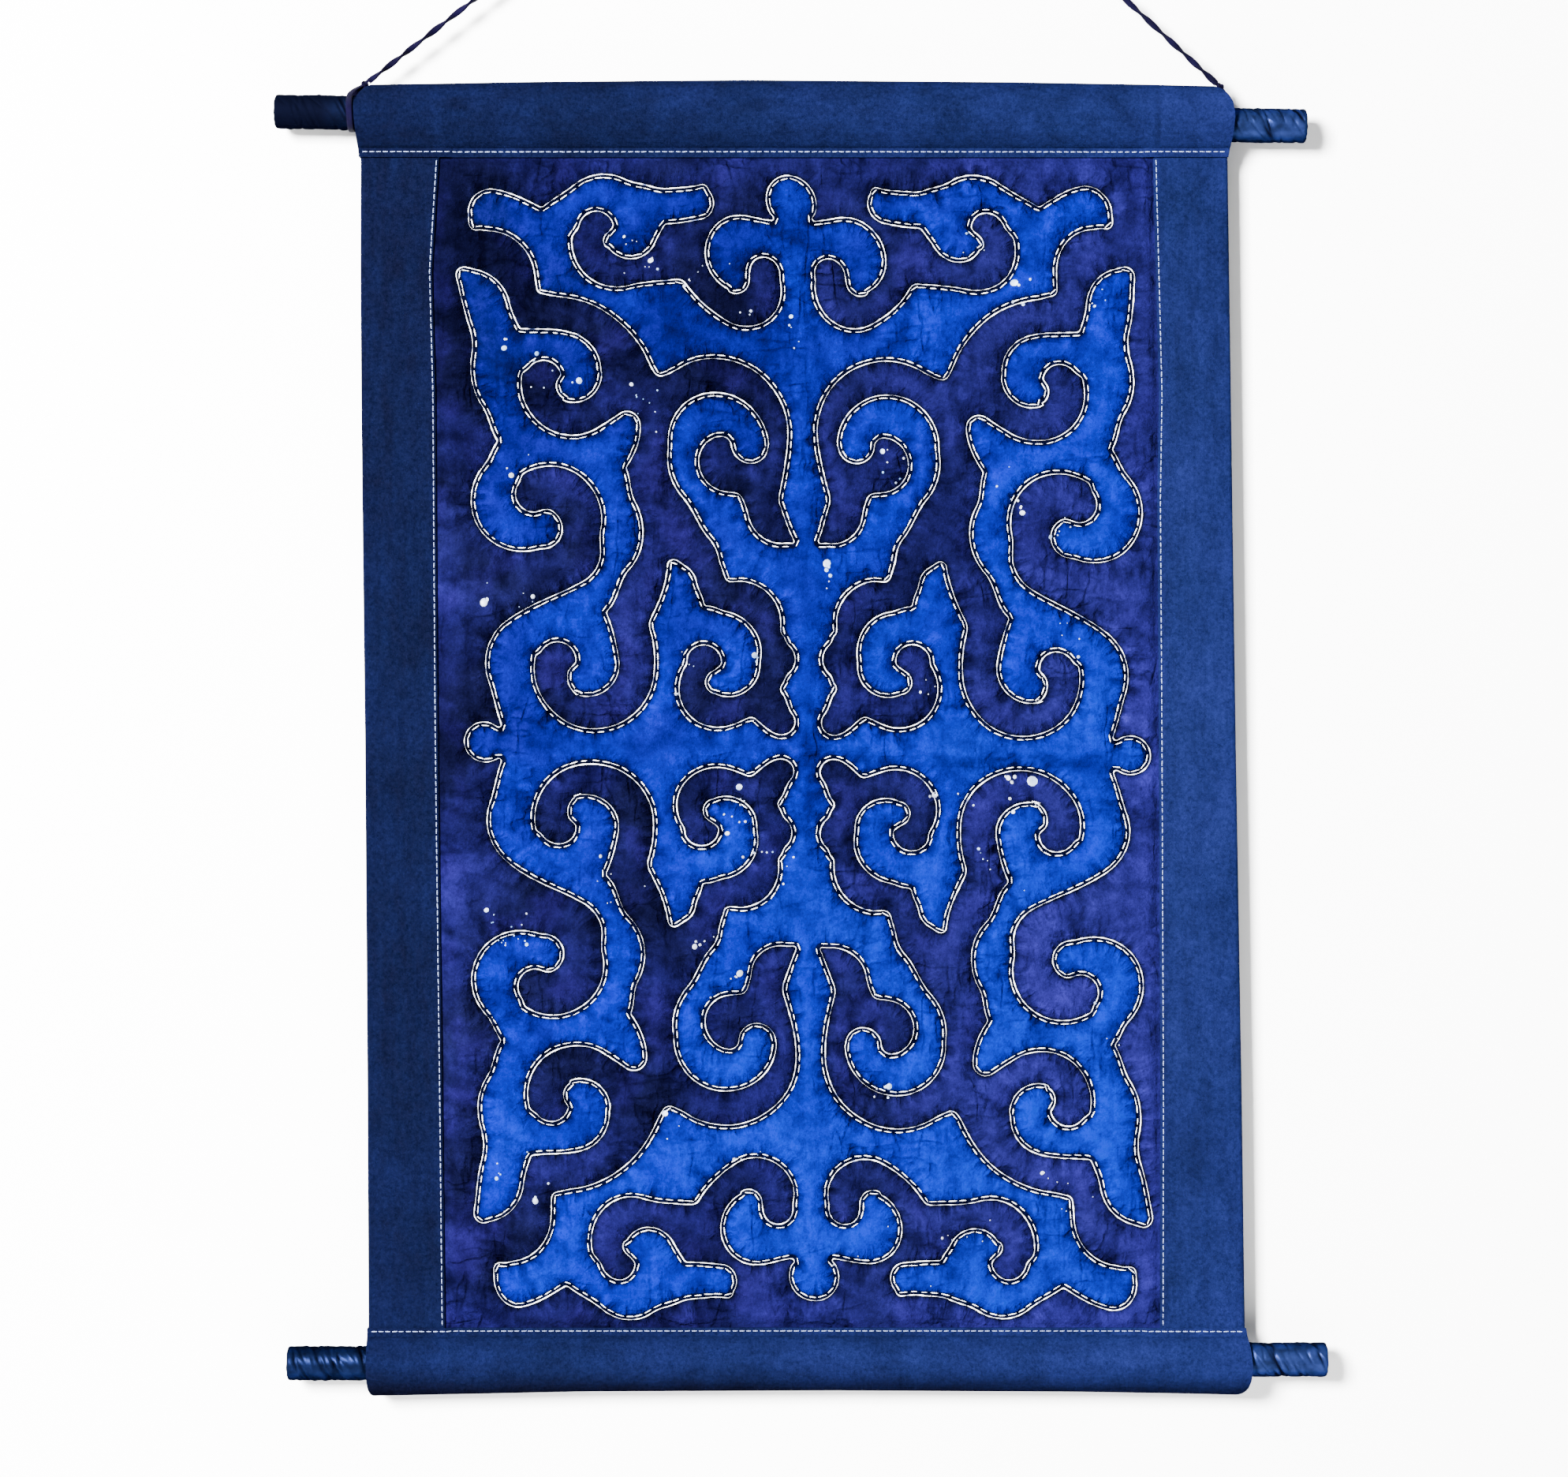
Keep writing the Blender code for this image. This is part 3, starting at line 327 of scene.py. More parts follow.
# Dots splashed over the cloth. Columns: x and z of the first, how far the spray runs in x and z, its
# spread, how many dots, and the largest one's radius.
SPLASHES = (
    (-100, 289, 14, -20, 4, 12, 0.9), (-84, 276, 4, -8, 3, 4, 1.6), (-64, 262, 16, 10, 6, 9, 1),
    (-4, 244, 2, -24, 2, 8, 1.3), (-28, 246, -30, 6, 8, 6, 0.9), (-168, 226, 6, 12, 3, 4, 1.6),
    (-150, 222, 6, -16, 4, 7, 1.3), (-126, 206, -10, -8, 4, 5, 1.9), (-96, 204, 22, -24, 6, 16, 1.2),
    (-164, 152, -4, 14, 4, 5, 1.6), (-180, 80, 2, 8, 2, 3, 2.4), (-152, 84, -18, 6, 6, 7, 1.3),
    (-24, 50, 6, -6, 3, 4, 1.8), (16, 102, 4, -12, 3, 9, 2.4), (48, 166, 14, -20, 5, 12, 1.5),
    (128, 132, -6, 22, 4, 12, 1.6), (146, 118, 10, 18, 5, 10, 1.2), (124, 262, 8, -12, 4, 9, 2.2),
    (96, 292, 14, -16, 5, 9, 0.8), (170, 250, 12, 10, 6, 8, 0.9), (-34, -26, 22, -56, 5, 22, 1.9),
    (-40, -52, 16, 24, 5, 10, 1.4), (134, -22, -34, -10, 6, 15, 3.1), (78, -30, -10, 4, 3, 4, 1.7),
    (-178, -96, 22, -20, 5, 18, 1.4), (-156, -116, -12, 6, 4, 8, 1.1), (-58, -116, 26, 12, 6, 10, 1.6),
    (-34, -132, -12, -6, 4, 7, 2), (-112, -66, 6, -30, 5, 10, 1), (52, -196, -6, -14, 4, 8, 1.9),
    (-76, -212, 6, -12, 3, 4, 1.8), (-172, -250, 14, 12, 5, 10, 1.2), (-36, -238, 30, 4, 6, 7, 1.1),
    (140, -246, 16, -18, 5, 12, 1.2), (84, -284, 30, 8, 8, 9, 0.8), (-150, -262, 8, 6, 3, 4, 1.9),
    (172, -150, 12, -26, 5, 8, 0.9), (70, 30, 20, 16, 8, 8, 0.8), (160, 50, -12, 12, 5, 9, 1),
    (-70, 28, 10, 24, 4, 6, 1.2), (104, -60, 26, -26, 8, 9, 0.9), (20, -300, 40, 6, 8, 6, 0.8),
)


def ink(red, green, blue):
    """A colour in linear light, from parts of ten thousand."""
    return red / 1e4, green / 1e4, blue / 1e4, 1.0


LIGHT_DEEP = ink(13, 15, 250)
LIGHT_MIDDLE = ink(9, 13, 540)
LIGHT_BRIGHT = ink(1, 14, 880)
LIGHT_AZURE = ink(0, 30, 1040)
LIGHT_LIMIT = ink(10000, 10000, 1080)      # a stronger blue would turn pale in the picture
LIGHT_SHADE = ink(1.8, 3.6, 72.8)
DARK_BLACK = ink(6.4, 6.4, 41)
DARK_INDIGO = ink(13, 10.6, 108)
DARK_BLUE = ink(15, 13, 130)
DARK_VIOLET = ink(15.5, 10, 112)
DARK_SHADE = ink(6, 7, 36)
NAVY_LOW = ink(7.5, 13, 72)
NAVY_HIGH = ink(10.5, 17, 101)
NAP = ink(9, 8, 9)
SATIN_DEEP = ink(31, 54, 196)
SATIN_BRIGHT = ink(78, 136, 560)
# Painted shade for the satin's fold hollows, top and bottom edges and upper left end:
SATIN_SHADE = ink(7, 9, 32)
SATIN_GLINT = ink(200, 500, 1600)
RIBBON_LOW = ink(8, 5, 34)
RIBBON_HIGH = ink(17, 10, 78)
RIBBON_EDGE = ink(4, 3, 16)
# The threads' dim colours are painted shade in the grooves between their plies.
THREAD_WHITE = ink(8600, 8600, 8700)
THREAD_PLY_SHADE = ink(2400, 2500, 3400)
TOPSTITCH_WHITE = ink(1700, 2300, 4200)
TOPSTITCH_PLY_SHADE = ink(500, 600, 1300)
LINE_WHITE = ink(6400, 6400, 6600)
LINE_STAIN = ink(350, 500, 1400)
DOT_WHITE = ink(2000, 2200, 2800)
DOT_CYAN = ink(600, 1300, 2800)
FLOOR_GREY = ink(6000, 6000, 6000)
BACKDROP_WHITE = ink(9000, 9000, 9000)


def world(points):
    """Millimetres from the panel's middle, as metres from the nail's place."""
    return (np.asarray(points, float) - NAIL) * MM


def column(table, places, index):
    """A table's column at the given places of its first column, eased between its rows."""
    rows = np.array(sorted(table))
    return np.interp(places, rows[:, 0], rows[:, index])


def soft_noise(x, z, size, seed):
    """From -1 to 1: random values on a lattice of the given size, eased between its corners."""
    lattice = np.random.RandomState(seed).uniform(-1, 1, (64, 64))
    u, v = np.asarray(x) / size[0], np.asarray(z) / size[1]
    i, j = np.floor(u).astype(int), np.floor(v).astype(int)
    a, b = u - i, v - j
    a, b = a * a * (3 - 2 * a), b * b * (3 - 2 * b)
    i, j, k, m = i % 64, j % 64, (i + 1) % 64, (j + 1) % 64
    low = lattice[i, j] * (1 - a) + lattice[k, j] * a
    high = lattice[i, m] * (1 - a) + lattice[k, m] * a
    return low * (1 - b) + high * b


def line_noise(along, size, seed, row=0):
    """Soft noise along one row of its lattice."""
    return soft_noise(along, row, (size, 1), seed)


def sharp_noise(x, z, size, seed):
    """Narrow valleys between broad backs: the root of the noise's absolute value."""
    return 1.4 * np.sqrt(np.abs(soft_noise(x, z, size, seed)) + 0.02) - 0.8


def unit(vectors):
    """Vectors over their own lengths."""
    return vectors / np.linalg.norm(vectors, axis=-1, keepdims=True)


def bell(values, width):
    """One at zero, falling off as the exponential of minus the square."""
    return np.exp(-((values / width) ** 2))


def tone(points, table):
    """One, with the soft oval patches of a table added: a bell across each times a bell along it. The
    patches paint shade and light beside folds, or are lighter and darker patches.
    """
    total = np.ones(len(points))
    for x, z, wide, tall, lean, amount in table:
        cos, sin = math.cos(math.radians(lean)), math.sin(math.radians(lean))
        u, v = points[:, 0] - x, points[:, 2] - z
        total += amount * bell(u * cos + v * sin, wide) * bell(v * cos - u * sin, tall)
    return np.maximum(total, 0.3)


def run_of(path):
    """How far along a path each of its points lies."""
    return np.concatenate(([0], np.cumsum(np.linalg.norm(np.diff(path, axis=0), axis=1))))


def walked(path, run, places):
    """The path's points at the given places along it."""
    return np.column_stack([np.interp(places, run, values) for values in path.T])


# Meshes

def put(name, data):
    """An object of the given data, in the scene."""
    made = bpy.data.objects.new(name, data)
    bpy.context.scene.collection.objects.link(made)
    return made


def make_piece(name, points, faces, finish, slot, **numbers):
    """A piece from points in millimetres, faces as arrays of corners, and named numbers for its points."""
    mesh = bpy.data.meshes.new(name)
    mesh.vertices.add(len(points))
    mesh.vertices.foreach_set("co", world(points).astype(np.float32).ravel())
    corners = np.concatenate([group.ravel() for group in faces]).astype(np.int32)
    counts = np.concatenate([np.full(len(group), group.shape[1]) for group in faces])
    mesh.loops.add(len(corners))
    mesh.loops.foreach_set("vertex_index", corners)
    mesh.polygons.add(len(counts))
    mesh.polygons.foreach_set("loop_start", (np.cumsum(counts) - counts).astype(np.int32))
    mesh.update(calc_edges=True)
    for label, values in numbers.items():
        attribute = mesh.attributes.new(label, "FLOAT", "POINT")
        attribute.data.foreach_set("value", np.asarray(values, np.float32).ravel())
    mesh.shade_smooth()
    mesh.set_sharp_from_angle(angle=math.radians(60))
    mesh.materials.append(finish)
    piece = put(name, mesh)
    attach(piece, "root")
    return piece


def grid_faces(rows, columns, wrap_rows=False, wrap_columns=False):
    """The quads of a grid of points, which face the viewer where rows go up and columns to the right."""
    index = np.arange(rows * columns).reshape(rows, columns)
    if wrap_rows:
        index = np.vstack((index, index[:1]))
    if wrap_columns:
        index = np.hstack((index, index[:, :1]))
    quads = np.stack((index[:-1, :-1], index[:-1, 1:], index[1:, 1:], index[1:, :-1]), axis=-1)
    return quads.reshape(-1, 4)


def rim_of(rows, columns):
    """The border of a grid of points, once round."""
    index = np.arange(rows * columns).reshape(rows, columns)
    return np.concatenate((index[0, :-1], index[:-1, -1], index[-1, :0:-1], index[:0:-1, 0]))


def cloth_faces(rows, columns):
    """A front grid, its reverse behind it, and the walls between their borders."""
    quads, rim, behind = grid_faces(rows, columns), rim_of(rows, columns), rows * columns
    ahead = np.roll(rim, -1)
    return [quads, quads[:, ::-1] + behind, np.column_stack((rim, rim + behind, ahead + behind, ahead))]


def shell_faces(rows, columns, front_first):
    """A grid, upright walls from its border to a second rim, and one face that closes the rim."""
    rim = rim_of(rows, columns)
    outer = rows * columns + np.arange(len(rim))
    walls = np.column_stack((rim, outer, np.roll(outer, -1), np.roll(rim, -1)))
    faces = [grid_faces(rows, columns), walls, outer[None, ::-1]]
    return faces if front_first else [group[:, ::-1] for group in faces], rim


def tube_faces(rings, sides, closed=False, count=1):
    """Tubes one after another: quads between the rings, and a cap on both ends unless they meet."""
    start = np.arange(count)[:, None, None] * rings * sides
    quads = (start + grid_faces(rings, sides, closed, True)).reshape(-1, 4)
    side = np.arange(sides)
    caps = np.vstack((start[:, 0] + side[::-1], start[:, 0] + side + (rings - 1) * sides))
    return [quads] if closed else [quads, caps]


def rings_round(path, side, face, wide, high):
    """Rings of points round a path: wide runs along side and high along face."""
    return path[:, None] + side[:, None] * wide[..., None] + face[:, None] * high[..., None]


def ribbon_rings(path, facing, width, thick, tilt=0):
    """Rings round a flat ribbon: an oval of cosines and sines, flattened by powers, set across the path.

    The ribbon's face looks along facing, turned round the path by tilt.
    """
    ahead = unit(np.gradient(path, axis=0))
    across = unit(np.cross(ahead, facing))
    out = np.cross(across, ahead)
    tilt, width, thick = (np.broadcast_to(value, len(path))[:, None] for value in (tilt, width, thick))
    side = across * np.cos(tilt) + out * np.sin(tilt)
    face = out * np.cos(tilt) - across * np.sin(tilt)
    angle = np.linspace(0, TURN, 14, endpoint=False)
    flat = np.sign(np.cos(angle)) * np.abs(np.cos(angle)) ** 0.7
    deep = np.sign(np.sin(angle)) * np.abs(np.sin(angle)) ** 0.8
    rings = rings_round(path, side, face, flat * width / 2, deep * thick / 2)
    return rings, np.broadcast_to(flat, rings.shape[:2])


# Materials

class Finish:
    """A material in the making. What goes into its nodes is a number, a colour or another node's output."""

    def __init__(self, name, roughness, **sockets):
        self.made = bpy.data.materials.new(name)
        self.made.use_nodes = True
        self.tree = self.made.node_tree
        self.shader = self.tree.nodes["Principled BSDF"]
        self.fill(self.shader, {"Roughness": roughness, **sockets})

    def fill(self, target, sockets):
        """Give a node its inputs."""
        for key, value in sockets.items():
            if isinstance(value, bpy.types.NodeSocket):
                self.tree.links.new(value, target.inputs[key])
            else:
                target.inputs[key].default_value = value

    def node(self, kind, sockets=None, output=0, **settings):
        """One output of a new node with the given inputs and settings."""
        made = self.tree.nodes.new("ShaderNode" + kind)
        for key, value in settings.items():
            setattr(made, key, value)
        self.fill(made, sockets or {})
        return made.outputs[output]

    def place(self, stretch=(1, 1, 1)):
        """The place on the piece in metres, stretched along its three axes."""
        return self.node("Mapping", {"Vector": self.node("TexCoord", output="Object"), "Scale": stretch})

    def axis(self, letter):
        """How far the place lies along one axis, in metres."""
        return self.node("SeparateXYZ", {0: self.node("TexCoord", output="Object")}, letter)

    def number(self, name):
        """A number that the piece carries at its points."""
        return self.node("Attribute", output="Fac", attribute_name=name)

    def maths(self, how, first, second=0.5):
        """A sum, a product or another function of one or two numbers."""
        return self.node("Math", {0: first, 1: second}, operation=how)

    def noise(self, place, scale, detail, roughness):
        """Cloudy noise from 0 to 1 at a place."""
        sockets = {"Vector": place, "Scale": scale, "Detail": detail, "Roughness": roughness}
        return self.node("TexNoise", sockets, "Fac")

    def mottle(self, size, detail=3, roughness=0.55, stretch=(1, 1, 1)):
        """Cloudy noise from 0 to 1 with features of the given size in millimetres."""
        return self.noise(self.place(stretch), 1 / (size * MM), detail, roughness)

    def ramp(self, value, low, high, to_low=0, to_high=1):
        """A value mapped from one range to another, and clamped."""
        return self.node("MapRange", {"Value": value, "From Min": low, "From Max": high,
                                      "To Min": to_low, "To Max": to_high})

    def mix(self, share, first, second, how="MIX"):
        """Two colours mixed by a share."""
        return self.node("Mix", {0: share, 6: first, 7: second}, 2, data_type="RGBA", blend_type=how)

    def times(self, colours, *factors):
        """A colour times one number after another."""
        for factor in factors:
            colours = self.node("VectorMath", {0: colours, 1: factor}, operation="MULTIPLY")
        return colours

    def painted_light_across(self, left, right, lower):
        """A factor of painted light that grows from left to right across the hanging, and a little down it.
        """
        across = self.ramp(self.axis("X"), -0.25, 0.24)
        uneven = self.maths("ADD", across, self.ramp(self.mottle(160, 2), 0.3, 0.7, -0.12, 0.12))
        aside = self.ramp(self.maths("POWER", uneven, 1.5), 0, 1, left, right)
        return self.maths("MULTIPLY", aside, self.ramp(self.axis("Z"), -0.28, -0.75, 1, lower))

    def wrinkles(self, stretch):
        """Thin broken lines from 0 to 1: where stretched noise passes its middle, kept in patches."""
        away = self.maths("ABSOLUTE", self.maths("SUBTRACT", self.mottle(12, 2, 0.5, stretch), 0.5))
        kept = self.ramp(self.mottle(38, 2), 0.46, 0.62)
        return self.maths("MULTIPLY", self.ramp(away, 0, 0.06, 1, 0), kept)

    def weave(self, pitch):
        """The fine over-and-under of threads: waves along x times waves along z."""
        scale = TURN / (20 * pitch * MM)
        sockets = {"Vector": self.place(), "Scale": scale, "Distortion": 0.6, "Detail Scale": 2}
        waves = [self.node("TexWave", sockets, "Fac", bands_direction=way) for way in "XZ"]
        return self.maths("MULTIPLY", *waves)

    def done(self, shown, *layers):
        """The finished material: its colour, and bumps over one another.

        A bump is its height from 0 to 1, its depth in millimetres and, where it varies, its strength.
        """
        under = {}
        for height, depth, *strength in layers:
            sockets = {"Height": height, "Distance": depth * MM, "Strength": strength[0] if strength else 1}
            under = {"Normal": self.node("Bump", {**sockets, **under})}
        self.fill(self.shader, {"Base Color": shown, **under})
        return self.made


MATT = {"Specular IOR Level": 0}


def dyed_cotton():
    """Blue figure on an indigo ground: cloudy dye, painted shade along the white line and in the folds,
    painted light across it, and fine puckers.
    """
    look = Finish("dyed cotton", 0.7, **MATT)
    ramp, mottle = look.ramp, look.mottle
    edge, along, strength, fold = map(look.number, ("from_line", "along_line", "pull", "fold"))
    depth = look.maths("ABSOLUTE", edge)
    ray = {0: look.maths("MULTIPLY", along, 0.24), 1: look.maths("MULTIPLY", edge, 0.07)}
    rays = look.noise(look.node("CombineXYZ", ray), 1, 2, 0.55)
    clouds, stains = mottle(80, 3, 0.5), mottle(36, 3, 0.5)
    wrinkled = look.maths("ADD", look.wrinkles((1, 1, 0.3)), look.wrinkles((0.34, 1, 1)))

    # Painted light: the blue dye's level grows to the right and towards the bottom, over random clouds and
    # mottle.
    level = ramp(clouds, 0.3, 0.7, -0.22, 0.22)
    for value, *limits in ((mottle(34, 3, 0.45), 0.3, 0.7, -0.26, 0.26),
                           (look.axis("X"), -0.25, 0.2, 0.14, 1.06),
                           (look.axis("Z"), -0.36, -0.84, 0, 0.74)):
        level = look.maths("ADD", level, ramp(value, *limits))
    light = LIGHT_DEEP
    for low, shade in ((0, LIGHT_MIDDLE), (0.5, LIGHT_BRIGHT), (1, LIGHT_AZURE)):
        light = look.mix(ramp(level, low, low + 0.5), light, shade)

    dark = DARK_BLACK
    for value, limits, shade in (
            (clouds, (0.4, 0.6), DARK_INDIGO), (stains, (0.5, 0.66, 0, 0.75), DARK_VIOLET),
            (stains, (0.46, 0.34, 0, 0.6), DARK_BLACK), (look.axis("X"), (-0.06, 0.14, 0, 0.7), DARK_BLUE)):
        dark = look.mix(ramp(value, *limits), dark, shade)
    dark = look.times(dark, look.painted_light_across(1.5, 2.9, 1.12), look.number("ground"))

    # Painted shade: darker near the line, where the cloth dips into the quilted groove, and near-black in
    # the slit between the white line and the stitches.
    light = look.mix(ramp(depth, 1.6, 4.6, 0.6, 0), light, LIGHT_SHADE)
    dark = look.mix(ramp(depth, 1.4, 4.2, 0.65, 0), dark, DARK_SHADE)
    shown = look.mix(ramp(edge, -0.35, 0.35), dark, light)
    shown = look.mix(ramp(depth, 1.5, 2.3, 0.92, 0), shown, DARK_SHADE)
    # Painted shade and light: darker in the folds' hollows and lighter on their backs, darker and lighter
    # streaks along the puckers, and darker along the thin wrinkles.
    streak = look.maths("MULTIPLY", ramp(rays, 0.36, 0.64, -0.62, 0.34), strength)
    shown = look.times(shown, ramp(fold, -1.1, 0.7, 0.42, 1.14),
                       ramp(mottle(22, 3, 0.5), 0.34, 0.52, 0.74, 1.04),
                       look.number("tone"), look.maths("ADD", streak, 1),
                       ramp(mottle(7, 4, 0.65), 0.3, 0.7, 0.84, 1.14), ramp(wrinkled, 0, 1, 1, 0.6),
                       ramp(mottle(2.1, 5, 0.9), 0.3, 0.7, 0.5, 1.5))
    return look.done(look.mix(1, shown, LIGHT_LIMIT, "DARKEN"), (rays, 6, strength), (wrinkled, -0.7),
                     (mottle(4.5, 4, 0.7), 1.3), (look.weave(0.55), 0.05))


def brushed_cotton(name, streak):
    """Navy cotton with a short nap: soft streaks along the cloth, cloudy wear and a fine fleck, under
    painted light across the hanging and its table's patches of painted shade and light.
    """
    look = Finish(name, 0.85, **MATT)
    ramp, mottle = look.ramp, look.mottle
    fleck = mottle(1.9, 5, 0.9)
    shown = look.mix(ramp(mottle(55, 4, 0.6), 0.34, 0.66), NAVY_LOW, NAVY_HIGH)
    shown = look.times(shown, look.painted_light_across(0.68, 1.98, 1.08), look.number("tone"),
                       ramp(mottle(7, 4, 0.6, streak), 0.3, 0.7, 0.8, 1.2),
                       ramp(mottle(9, 4, 0.7), 0.3, 0.7, 0.84, 1.16), ramp(fleck, 0.3, 0.7, 0.45, 1.55))
    shown = look.mix(ramp(fleck, 0.3, 0.7), shown, NAP, "ADD")
    return look.done(shown, (mottle(16, 3, 0.6, streak), 1.2), (fleck, 0.3), (look.weave(0.6), 0.06))


def satin():
    """Blue satin wound on the rods, which glints blue along its folds. Painted shade darkens the folds'
    hollows, the top and bottom edges and the upper left end, which it turns black; painted light grows from
    left to right.
    """
    look = Finish("blue satin", 0.36, **MATT, **{"Metallic": 0.6, "Specular Tint": SATIN_GLINT})
    east = look.axis("X")
    # Painted shade: the upper left end turns black, and rougher as well.
    corner = look.maths("MULTIPLY", look.ramp(east, -0.25, -0.29), look.ramp(look.axis("Z"), -0.5, -0.3))
    shown = look.mix(look.ramp(look.mottle(9, 4), 0.35, 0.65), SATIN_DEEP, SATIN_BRIGHT)
    # Painted shade in the folds' hollows and on the top and bottom edges, and painted light that grows from
    # left to right.
    shown = look.mix(look.ramp(look.number("fold"), 0.05, -0.5), shown, SATIN_SHADE)
    shown = look.mix(look.ramp(look.number("rim"), 0.55, 1, 0, 0.75), shown, SATIN_SHADE)
    shown = look.mix(corner, look.times(shown, look.ramp(east, -0.25, 0.2, 0.34, 1.1)), SATIN_SHADE)
    look.fill(look.shader, {"Roughness": look.ramp(corner, 0, 1, 0.36, 0.75)})
    return look.done(shown, (look.mottle(0.9, 2), 0.05))


def ribbon_cloth():
    """Dark violet ribbon with a fine rib across it and darker edges."""
    look = Finish("violet ribbon", 0.6, **{"Specular IOR Level": 0.01})
    edge = look.ramp(look.maths("ABSOLUTE", look.number("across")), 0.8, 0.95)
    shown = look.mix(look.ramp(look.mottle(12), 0.35, 0.65), RIBBON_LOW, RIBBON_HIGH)
    shown = look.mix(look.maths("MULTIPLY", edge, 0.5), shown, RIBBON_EDGE)
    rib = look.maths("SINE", look.maths("MULTIPLY", look.number("along"), TURN / RIB_PITCH))
    return look.done(shown, (rib, 0.05))


def thread(name, shade, ply_shade):
    """White thread: two plies wound round each other, seen as slanting grooves with painted shade in them.
    """
    look = Finish(name, 0.55, **{"Sheen Weight": 0.2})
    along = look.maths("MULTIPLY", look.number("along"), TURN / PLY_PITCH)
    ply = look.maths("SINE", look.maths("ADD", along, look.number("around")))
    return look.done(look.mix(look.ramp(ply, -1, -0.2), ply_shade, shade), (ply, 0.12))


def white_line():
    """The white line that kept the dyes apart, a little stained by them."""
    look = Finish("white line", 0.5)
    stain = look.ramp(look.mottle(6, 3, 0.65), 0.5, 0.66)
    return look.done(look.mix(stain, LINE_WHITE, LINE_STAIN), (look.mottle(1.2, 2), 0.12))


def splash_paint():
    """The small white and pale blue dots."""
    look = Finish("splashed dots", 0.45)
    return look.done(look.mix(look.ramp(look.mottle(18, 2), 0.46, 0.62), DOT_WHITE, DOT_CYAN))


# Camera, light and stage

def add_camera():
    """A level camera square to the cloth, as far off as the picture's slight perspective asks."""
    data = bpy.data.cameras.new("camera")
    data.sensor_width = SENSOR
    data.lens = SENSOR * CAMERA_DISTANCE / PICTURE_WIDTH
    camera = put("camera", data)
    camera.location = world((PICTURE_CENTRE[0], -CAMERA_DISTANCE, PICTURE_CENTRE[1]))
    camera.rotation_euler = (math.radians(90), 0, 0)
    bpy.context.scene.camera = camera


def add_stage():
    """A pale floor under the hanging, and a white backdrop behind it that is open from behind."""
    floor = Finish("pale floor", 0.8, **{"Base Color": FLOOR_GREY})
    wall = Finish("white backdrop", 0.9, **{"Base Color": BACKDROP_WHITE})
    back, clear = wall.node("NewGeometry", output="Backfacing"), wall.node("BsdfTransparent")
    mixed = wall.node("MixShader", {0: back, 1: wall.shader.outputs[0], 2: clear})
    wall.fill(wall.tree.nodes["Material Output"], {"Surface": mixed})
    for name, *sides, finish in (("floor", (0, -400, FLOOR_Z), (1300, 0, 0), (0, 800, 0), floor),
                                 ("backdrop", (0, BACKDROP_Y, 0), (1500, 0, 0), (0, 0, 900), wall)):
        centre, right, up = map(np.array, sides)
        corners = world([centre + right * a + up * b for a, b in ((-1, -1), (1, -1), (1, 1), (-1, 1))])
        mesh = bpy.data.meshes.new(name)
        mesh.from_pydata(corners.tolist(), [], [(0, 1, 2, 3)])
        mesh.materials.append(finish.made)
        put(name, mesh)


def add_light():
    """A lamp at the upper left that looks at the panel's middle, and an even white light all round."""
    data = bpy.data.lights.new("key", "AREA")
    data.size = KEY_SIZE
    data.energy = KEY_WATTS
    lamp = put("key", data)
    lamp.location = Vector(world(KEY_PLACE))
    lamp.rotation_euler = (Vector(world((0, 0, 0))) - lamp.location).to_track_quat("-Z", "Y").to_euler()
    surroundings = bpy.data.worlds.new("studio")
    surroundings.use_nodes = True
    background = surroundings.node_tree.nodes["Background"]
    background.inputs["Color"].default_value = (1, 1, 1, 1)
    background.inputs["Strength"].default_value = SURROUNDINGS
    bpy.context.scene.world = surroundings


add_camera()
add_stage()
add_light()


# Ribbon legs, their ties round the rod, and the loop for the nail

def leg_route(knot):
    """The straight route of one leg, from its knot on the rod to the knot under the loop."""
    low, high = np.array(knot), np.array(TOP_KNOT)
    ahead = unit(high - low)
    return low + ahead * (KNOT_RADIUS + GAP), high - ahead * (TOP_KNOT_RADIUS + 0.4 + GAP)


def add_leg(name, knot, seed):
    """A flat ribbon that turns over once in every half twist, a little faster here and slower there."""
    start, end = leg_route(knot)
    length = np.linalg.norm(end - start)
    share = np.linspace(0, 1, 220)
    along, path = share * length, start + (end - start) * share[:, None]
    tilt = np.pi * along / RIBBON_HALF_TWIST + 0.5 * line_noise(along, 38, seed)
    curl = 1 - 0.08 * (1 + line_noise(along, 12, seed + 1, 5))
    rings, across = ribbon_rings(path, FRONT, RIBBON_WIDTH * curl, LEG_THICK, tilt)
    leg = make_piece(name, rings.reshape(-1, 3), tube_faces(*across.shape), RIBBON, "ribbon",
                     across=across, along=np.broadcast_to(along[:, None], across.shape))
    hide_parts(name)
    world(knot)
    world(path[::6]).tolist() + [world(path[-1]).tolist()]


def knot_rings(centre, radius, width, lean):
    """A small tight knot: a path that winds three times round a ball, as a trefoil does."""
    t = np.linspace(0, TURN, 72, endpoint=False)
    path = np.column_stack((np.sin(t) + 2 * np.sin(2 * t), 1.44 * np.sin(3 * t),
                            np.cos(t) - 2 * np.cos(2 * t))) * radius * 0.24
    cos, sin = math.cos(math.radians(lean)), math.sin(math.radians(lean))
    path = path @ np.array(((cos, 0, -sin), (0, 1, 0), (sin, 0, cos)))
    ahead = unit(np.roll(path, -1, axis=0) - np.roll(path, 1, axis=0))
    across = unit(np.cross(ahead, path + 0.01 * FRONT))
    angle = np.linspace(0, TURN, 10, endpoint=False)[None]
    rings = rings_round(path + centre, across, np.cross(across, ahead),
                        np.cos(angle) * width / 2, np.sin(angle) * width * 0.24)
    return rings, np.broadcast_to(np.cos(angle), rings.shape[:2]), t


def join_ribbons(name, groups):
    """Tubes of ribbon in one piece: each its rings, the places across and along them, and closed or not."""
    faces, points, across_all, along_all, start = [], [], [], [], 0
    for rings, across, along, closed in groups:
        faces += [group + start for group in tube_faces(*across.shape, closed)]
        points.append(rings.reshape(-1, 3))
        across_all.append(across.ravel())
        along_all.append(np.repeat(along, across.shape[1]))
        start += across.size
    return make_piece(name, np.vstack(points), faces, RIBBON, "ribbon",
                      across=np.concatenate(across_all), along=np.concatenate(along_all))


